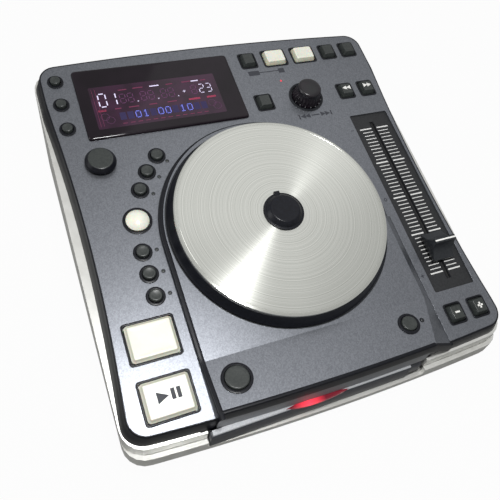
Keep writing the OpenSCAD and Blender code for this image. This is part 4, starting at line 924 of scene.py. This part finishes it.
def display_marks():
    """Figures, dots, word-like bars and a row of dot cells: plain numbers, and nothing that can be read."""
    left, foot = tube_low
    span = tube_size[0]

    def bars(rows):
        """Bars of (part of the tube's width, height over its foot, width, height), as panel rows."""
        return np.array(rows) * (span, 1, 1, 1) + (left, foot, 0, 0)

    def figures(parts, rise, height, width):
        """Figures of one height at parts of the tube's width."""
        return np.vstack([figure_bars((left + f * span, foot + rise), height, width, SEGMENTS[c]) for f, c in parts])

    lit = np.vstack([
        figures([(0.055, "0"), (0.13, "1")], 15.0, 9.2, 4.2),
        figures([(0.845, "2"), (0.905, "3")], 16.2, 6.2, 3.0),
        bars([(f, 16.0, 0.6, 0.6) for f in (0.345, 0.505, 0.665)]),
        bars([(0.72, 18.8, 1.8, 0.35), (0.72, 18.8, 0.35, 1.8), (0.5, 25.5, 5.6, 0.75), (0.83, 25.5, 4.4, 0.75)]),
    ])
    unlit = figures([(f, "8") for f in (0.215, 0.275, 0.375, 0.435, 0.535, 0.595, 0.78)], 16.0, 6.4, 3.1)
    words = bars([(f, y, w, 0.7) for f, y, w in (
        (0.25, 25.4, 5), (0.37, 25.6, 6), (0.62, 25.4, 4), (0.76, 25.6, 5.5), (0.9, 25.4, 3.2),
        (0.18, 12.6, 3.6), (0.3, 12.6, 6), (0.45, 12.6, 4.6), (0.6, 12.6, 5.6), (0.06, 12.6, 3.8))])
    tags = bars([(0.78, 12.4, 7.0, 1.3), (0.92, 12.4, 5.6, 1.3), (0.06, 12.4, 4.4, 1.3)])
    cell_at = 0.2 + 0.058 * np.arange(12)
    small = bars([(f, 2.0, 2.6, 0.45) for f in cell_at])
    cells = bars([(f, 7.0, 3.5, 5.2) for f in cell_at])
    rules = np.array([(left + x, tube_at[1], 0.2, tube_size[1] - 3) for x in (1.6, 3.4)])
    zero = ["01110", "10001", "10001", "10001", "10001", "10001", "01110"]
    one = ["00100", "01100", "00100", "00100", "00100", "00100", "01110"]
    dots = np.array([
        (left + span * cell_at[k] + (x - 2) * 0.68, foot + 7.0 + (3 - y) * 0.72, 0.46, 0.5)
        for k, shape in ((2, zero), (3, one), (5, zero), (6, zero), (8, one), (9, zero))
        for y, row in enumerate(shape) for x, on in enumerate(row) if on == "1"
    ])
    ring = np.column_stack([circle(2.3, 22), np.full((22, 2), 0.34)])
    loops = [ring + (left + f * span + k, foot + 6.6 - k, 0, 0) for f in (0.085, 0.925) for k in (-1.3, 1.3)]
    groups = [
        ("display_figures", lit, glow("lit_figures", "#c3bcd6", 0.6), 0.0),
        ("display_unlit_figures", np.vstack([unlit, *loops]), glow("unlit_figures", "#5a2f56", 0.1), 0.0),
        ("display_words", np.vstack([words, small, rules]), glow("unlit_words", "#6a2747", 0.12), 0.0),
        ("display_tags", tags, glow("unlit_tags", "#8c2c48", 0.16), 0.0),
        ("display_cells", cells, glow("unlit_cells", "#241a47", 0.1), 0.0),
        ("display_dots", dots, glow("lit_dots", "#7078d8", 0.7), 0.02),
    ]
    for name, rows, finish, lift in groups:
        low, high = WINDOW_TOP + 0.01 + lift, WINDOW_TOP + 0.06 + lift
        piece(name, [slabs(rows[:, :2], rows[:, 2:], low, high)], "case", finish)


display_marks()

# ----------------
# Tray front and lens

tray_low, tray_high = world_box("tray_front")
NOSE = 10.6  # length of the narrow dark part at the right


def across(profile, x0, x1, end=0.4):
    """A profile of (y, z) pairs carried across the front from x0 to x1, drawn in a little at both ends. The face
    is nearly flat: it lies back by 0.9 mm at the left and by 0.01 mm more for each mm to the right."""
    x = np.concatenate([[x0, x0 + end], np.linspace(x0 + 1.2, x1 - 1.2, 24), [x1 - end, x1]])
    profile = np.asarray(profile, float)
    middle = profile.mean(0)
    draw = np.ones(len(x))
    draw[0] = draw[-1] = 0.94
    back = tray_low[1] + 0.9 + 0.01 * (x - tray_low[0])
    rings = [
        np.column_stack([np.full(len(profile), u), y + middle[0] + (profile[:, 0] - middle[0]) * d,
                         middle[1] + (profile[:, 1] - middle[1]) * d])
        for u, y, d in zip(x, back, draw)
    ]
    return shell(np.array(rings) * MM)


def tray_face_pieces():
    """The tray's dark face with a soft upper edge, its silver shelf, and the narrow dark nose at the right."""
    z0, z1 = tray_low[2], tray_high[2]
    right = tray_high[0]
    back = 3.2
    face = [
        (0.0, z0 + 0.6), (0.0, z1 - 1.9), (0.2, z1 - 1.2), (0.7, z1 - 0.75), (back, z1 - 0.75), (back, z0), (0.5, z0),
    ]
    shelf = [(0.55, z1 - 0.78), (0.6, z1 - 0.3), (0.9, z1), (back, z1), (back, z1 - 0.78)]
    nose = [
        (1.2, z0 + 0.5), (1.2, z1 - 4.6), (1.7, z1 - 2.9), (2.4, z1 - 2.0), (back, z1 - 1.7), (back, z0), (1.5, z0),
    ]
    piece("tray_face", [across(face, tray_low[0], right - NOSE), across(nose, right - NOSE - 0.3, right - 2.0)],
          "tray", face_grey, ("tray_front",))
    piece("tray_shelf", [across(shelf, tray_low[0] + 1.2, right - NOSE - 0.1)], "tray", shelf_paint)


tray_face_pieces()


def lens_dome():
    """An almond drawn by x = t w / 2 and y = (1 - t t) d / 2 on both sides, in rings that rise to a low crown."""
    low, high = world_box("tray_lens")
    centre, size = (low + high) / 2, high - low
    t = np.linspace(-1, 1, 25)
    lower = np.stack([t, -(1 - t * t)], -1)[:-1]
    upper = np.stack([-t, 1 - t * t], -1)[:-1]
    ring = np.vstack([lower, upper]) * size[:2] / 2
    crown = [(1.0, -0.15), (0.93, 0), (0.75, 0.04), (0.45, 0.07), (0.1, 0.08)]
    levels = [(1.0, low[2])] + [(s, high[2] + z) for s, z in crown]
    return shell([np.column_stack([ring * s + centre[:2], np.full(len(ring), z)]) * MM for s, z in levels])


piece("lens_crown", [lens_dome()], "tray", red_lens, ("tray_lens",))

# ----------------
# Marks: plain arrows, bars and signs, and small lamps

INK = (-0.02, 0.05)  # foot and top of what is printed on the panel


def arrow(at, size, way):
    """A triangle that points to the left or the right."""
    return (np.array([(-way, -1), (-way, 1), (way, 0)]) * size / 2 + at)[::way]


def key_marks():
    """White arrows and signs on the keys that search and bend, and the play sign on its pad."""
    for key, way, bars in (
        ("search_back", -1, []), ("search_forward", 1, []),
        ("bend_down", 0, [(2.9, 1.0)]), ("bend_up", 0, [(3.4, 1.0), (1.0, 3.4)]),
    ):
        at, _, _, top = key_place(key + "_button")
        marks = [plate(arrow(at + (way * d, 0.6), 3.0, way), top - 0.14, top + 0.02) for d in (-1.4, 1.4) if way]
        marks += [slabs(at, bar, top - 0.13, top + 0.03) for bar in bars]
        piece(key + "_mark", marks, key + "_button", white_ink)
    at, _, _, top = key_place("play_button")
    marks = [plate(arrow(at + (-2.4, 0.6), 5.6, 1), top - 0.13, top + 0.03)]
    marks += [slabs(at + (d, 0.8), (1.9, 5.2), top - 0.13, top + 0.03) for d in (2.4, 5.2)]
    piece("play_mark", marks, "play_button", dark_ink)


def panel_marks():
    """Dark marks on the grey panel: the knob's arrows, the fader's zero, plus and minus, and two joined boxes."""
    x, y = knob_at + (1.0, -14.2)
    marks = [plate(arrow((x + way * d, y), 3.4, way), *INK) for way in (-1, 1) for d in (5.4, 8.5)]
    marks += [slabs((x + way * 11.0, y), (0.8, 3.5), *INK) for way in (-1, 1)]
    marks += [slabs((x, y), (5.4, 0.75), *INK)]
    scale_u = plate_low[0] - 2.9
    marks += [slabs(circle(1.0, 20) * (0.75, 1) + (scale_u, SLOT_V), (0.36, 0.36), *INK)]
    marks += [slabs((scale_u, TICK_SPAN[1]), (2.0, 0.4), *INK)]
    marks += [slabs((scale_u, TICK_SPAN[0]), size, *INK) for size in ((2.2, 0.5), (0.5, 2.2))]
    flip_at, a1_at = (key_place(key + "_button")[0] for key in ("flip", "loop_a1"))
    y = flip_at[1] - 10.2
    marks += [slabs((flip_at[0] + 0.8, y), (7.4, 3.5), *INK), slabs((a1_at[0] + 1.2, y - 0.2), (4.0, 3.5), *INK)]
    marks += [slabs(((flip_at[0] + a1_at[0]) / 2 + 1.8, y), (a1_at[0] - flip_at[0] - 5, 0.55), *INK)]
    trim("panel_marks", marks, dark_ink)


def lamps():
    """Small smoked lamps beside the effect keys, a red one by the knob and a dark one on the deck's level part."""
    offsets = {
        "echo": (4.8, -4.3), "flanger": (5.7, -4.2), "filter": (6.3, -3.4),
        "drag": (7.3, 0), "brake": (7.3, 0), "reverse": (7.3, 0),
    }
    dots, rims = [], []
    for key, offset in offsets.items():
        at = key_place(key + "_button")[0] + offset
        rims.append(lathe([(1.15, -0.02), (1.15, 0.05), (0.8, 0.06), (0.8, -0.02)], at, 24, closed=True))
        dots.append(lathe([(0.78, -0.02), (0.78, 0.06), (0.6, 0.2), (0.35, 0.27), (0.05, 0.3)], at, 24))
    trim("lamp_rims", rims, dark_ink)
    piece("lamps", dots, "case", key_grey)
    red = [lathe([(0.7, -0.02), (0.7, 0.05), (0.5, 0.2), (0.05, 0.28)], knob_at + (-11.6, 15.0), 20)]
    piece("knob_lamp", red, "case", glow("lit_lamp", "#e0424e", 0.35))
    low, high = world_box("pitch_button")
    bead = [(r, FACET_Z + z) for r, z in ((1.05, -1.2), (1.05, 0.2), (0.7, 0.55), (0.1, 0.65))]
    lamp = facet_lathe(bead, (low + high) / 2 + (8.3, 0, 0), 24)
    trim("deck_lamp", [lamp], charcoal)


key_marks()
panel_marks()
lamps()

# ----------------
# Floor, light and camera


def stage():
    """A wide floor that the camera sees as all but white. What it throws back on the object is grey."""
    mesh = bpy.data.meshes.new("floor")
    far = 4.0
    mesh.from_pydata([(-far, -far, 0), (far, -far, 0), (far, far, 0), (-far, far, 0)], [], [(0, 1, 2, 3)])
    made, tree, shader = material("studio_floor", "#8c8c8a", 0.9)
    seen = add(tree, "LightPath")
    lit = add(tree, "Emission", Strength=1.0)
    share = add(tree, "Math", {"operation": "MULTIPLY"}, in0=seen.outputs["Is Camera Ray"], in1=0.97)
    mix = add(tree, "MixShader", Fac=share.outputs[0], in1=shader.outputs[0], in2=lit.outputs[0])
    tree.links.new(mix.outputs[0], tree.nodes["Material Output"].inputs["Surface"])
    mesh.materials.append(made)
    placed("floor", mesh)


def sky(level, gloss_level):
    """The world: white to the camera, one level as light on matt surfaces and another as a reflection."""
    world = bpy.data.worlds.new("studio")
    bpy.context.scene.world = world
    world.use_nodes = True
    tree = world.node_tree
    back = tree.nodes["Background"]
    rays = add(tree, "LightPath")
    gloss = add(tree, "MapRange", Value=rays.outputs["Is Glossy Ray"])
    gloss.inputs["To Min"].default_value = level
    gloss.inputs["To Max"].default_value = gloss_level
    seen = add(tree, "Math", {"operation": "MAXIMUM"}, in0=gloss.outputs["Result"], in1=rays.outputs["Is Camera Ray"])
    tree.links.new(seen.outputs[0], back.inputs["Strength"])
    back.inputs["Color"].default_value = (1, 1, 1, 1)


def area_light(name, place, aim, size, power):
    """A soft rectangular lamp at a place, aimed at a point, both in metres."""
    lamp = bpy.data.lights.new(name, "AREA")
    lamp.shape = "RECTANGLE"
    lamp.size, lamp.size_y = size
    lamp.energy = power
    thing = placed(name, lamp)
    thing.location = place
    way = np.array(aim) - np.array(place)
    thing.rotation_euler = Vector(way).to_track_quat("-Z", "Y").to_euler()


def camera():
    """The photograph's view: its place in mm, its turn in degrees and its focal length were solved from the
    panel's outline and controls in the 500 by 500 frame."""
    lens = bpy.data.cameras.new("camera")
    lens.sensor_width = 36.0
    lens.lens = 40.754
    lens.clip_start = 0.01
    thing = placed("camera", lens)
    thing.location = np.array((-117.9, -192.1, 292.8)) * MM
    thing.rotation_euler = [math.radians(a) for a in (37.386, -7.649, -21.385)]
    bpy.context.scene.camera = thing


stage()
sky(0.36, 0.5)
area_light("key", (-0.06, -0.14, 0.42), (-0.03, -0.06, 0.05), (0.05, 0.05), 1.1)
area_light("window", (0.12, 0.12, 0.42), (-0.01, -0.06, 0.05), (0.3, 0.3), 0.11)
area_light("side", (-0.9, 0.1, 0.35), (-0.1, 0, 0.03), (0.5, 0.5), 1.6)
camera()
bpy.context.scene.view_settings.view_transform = "Standard"
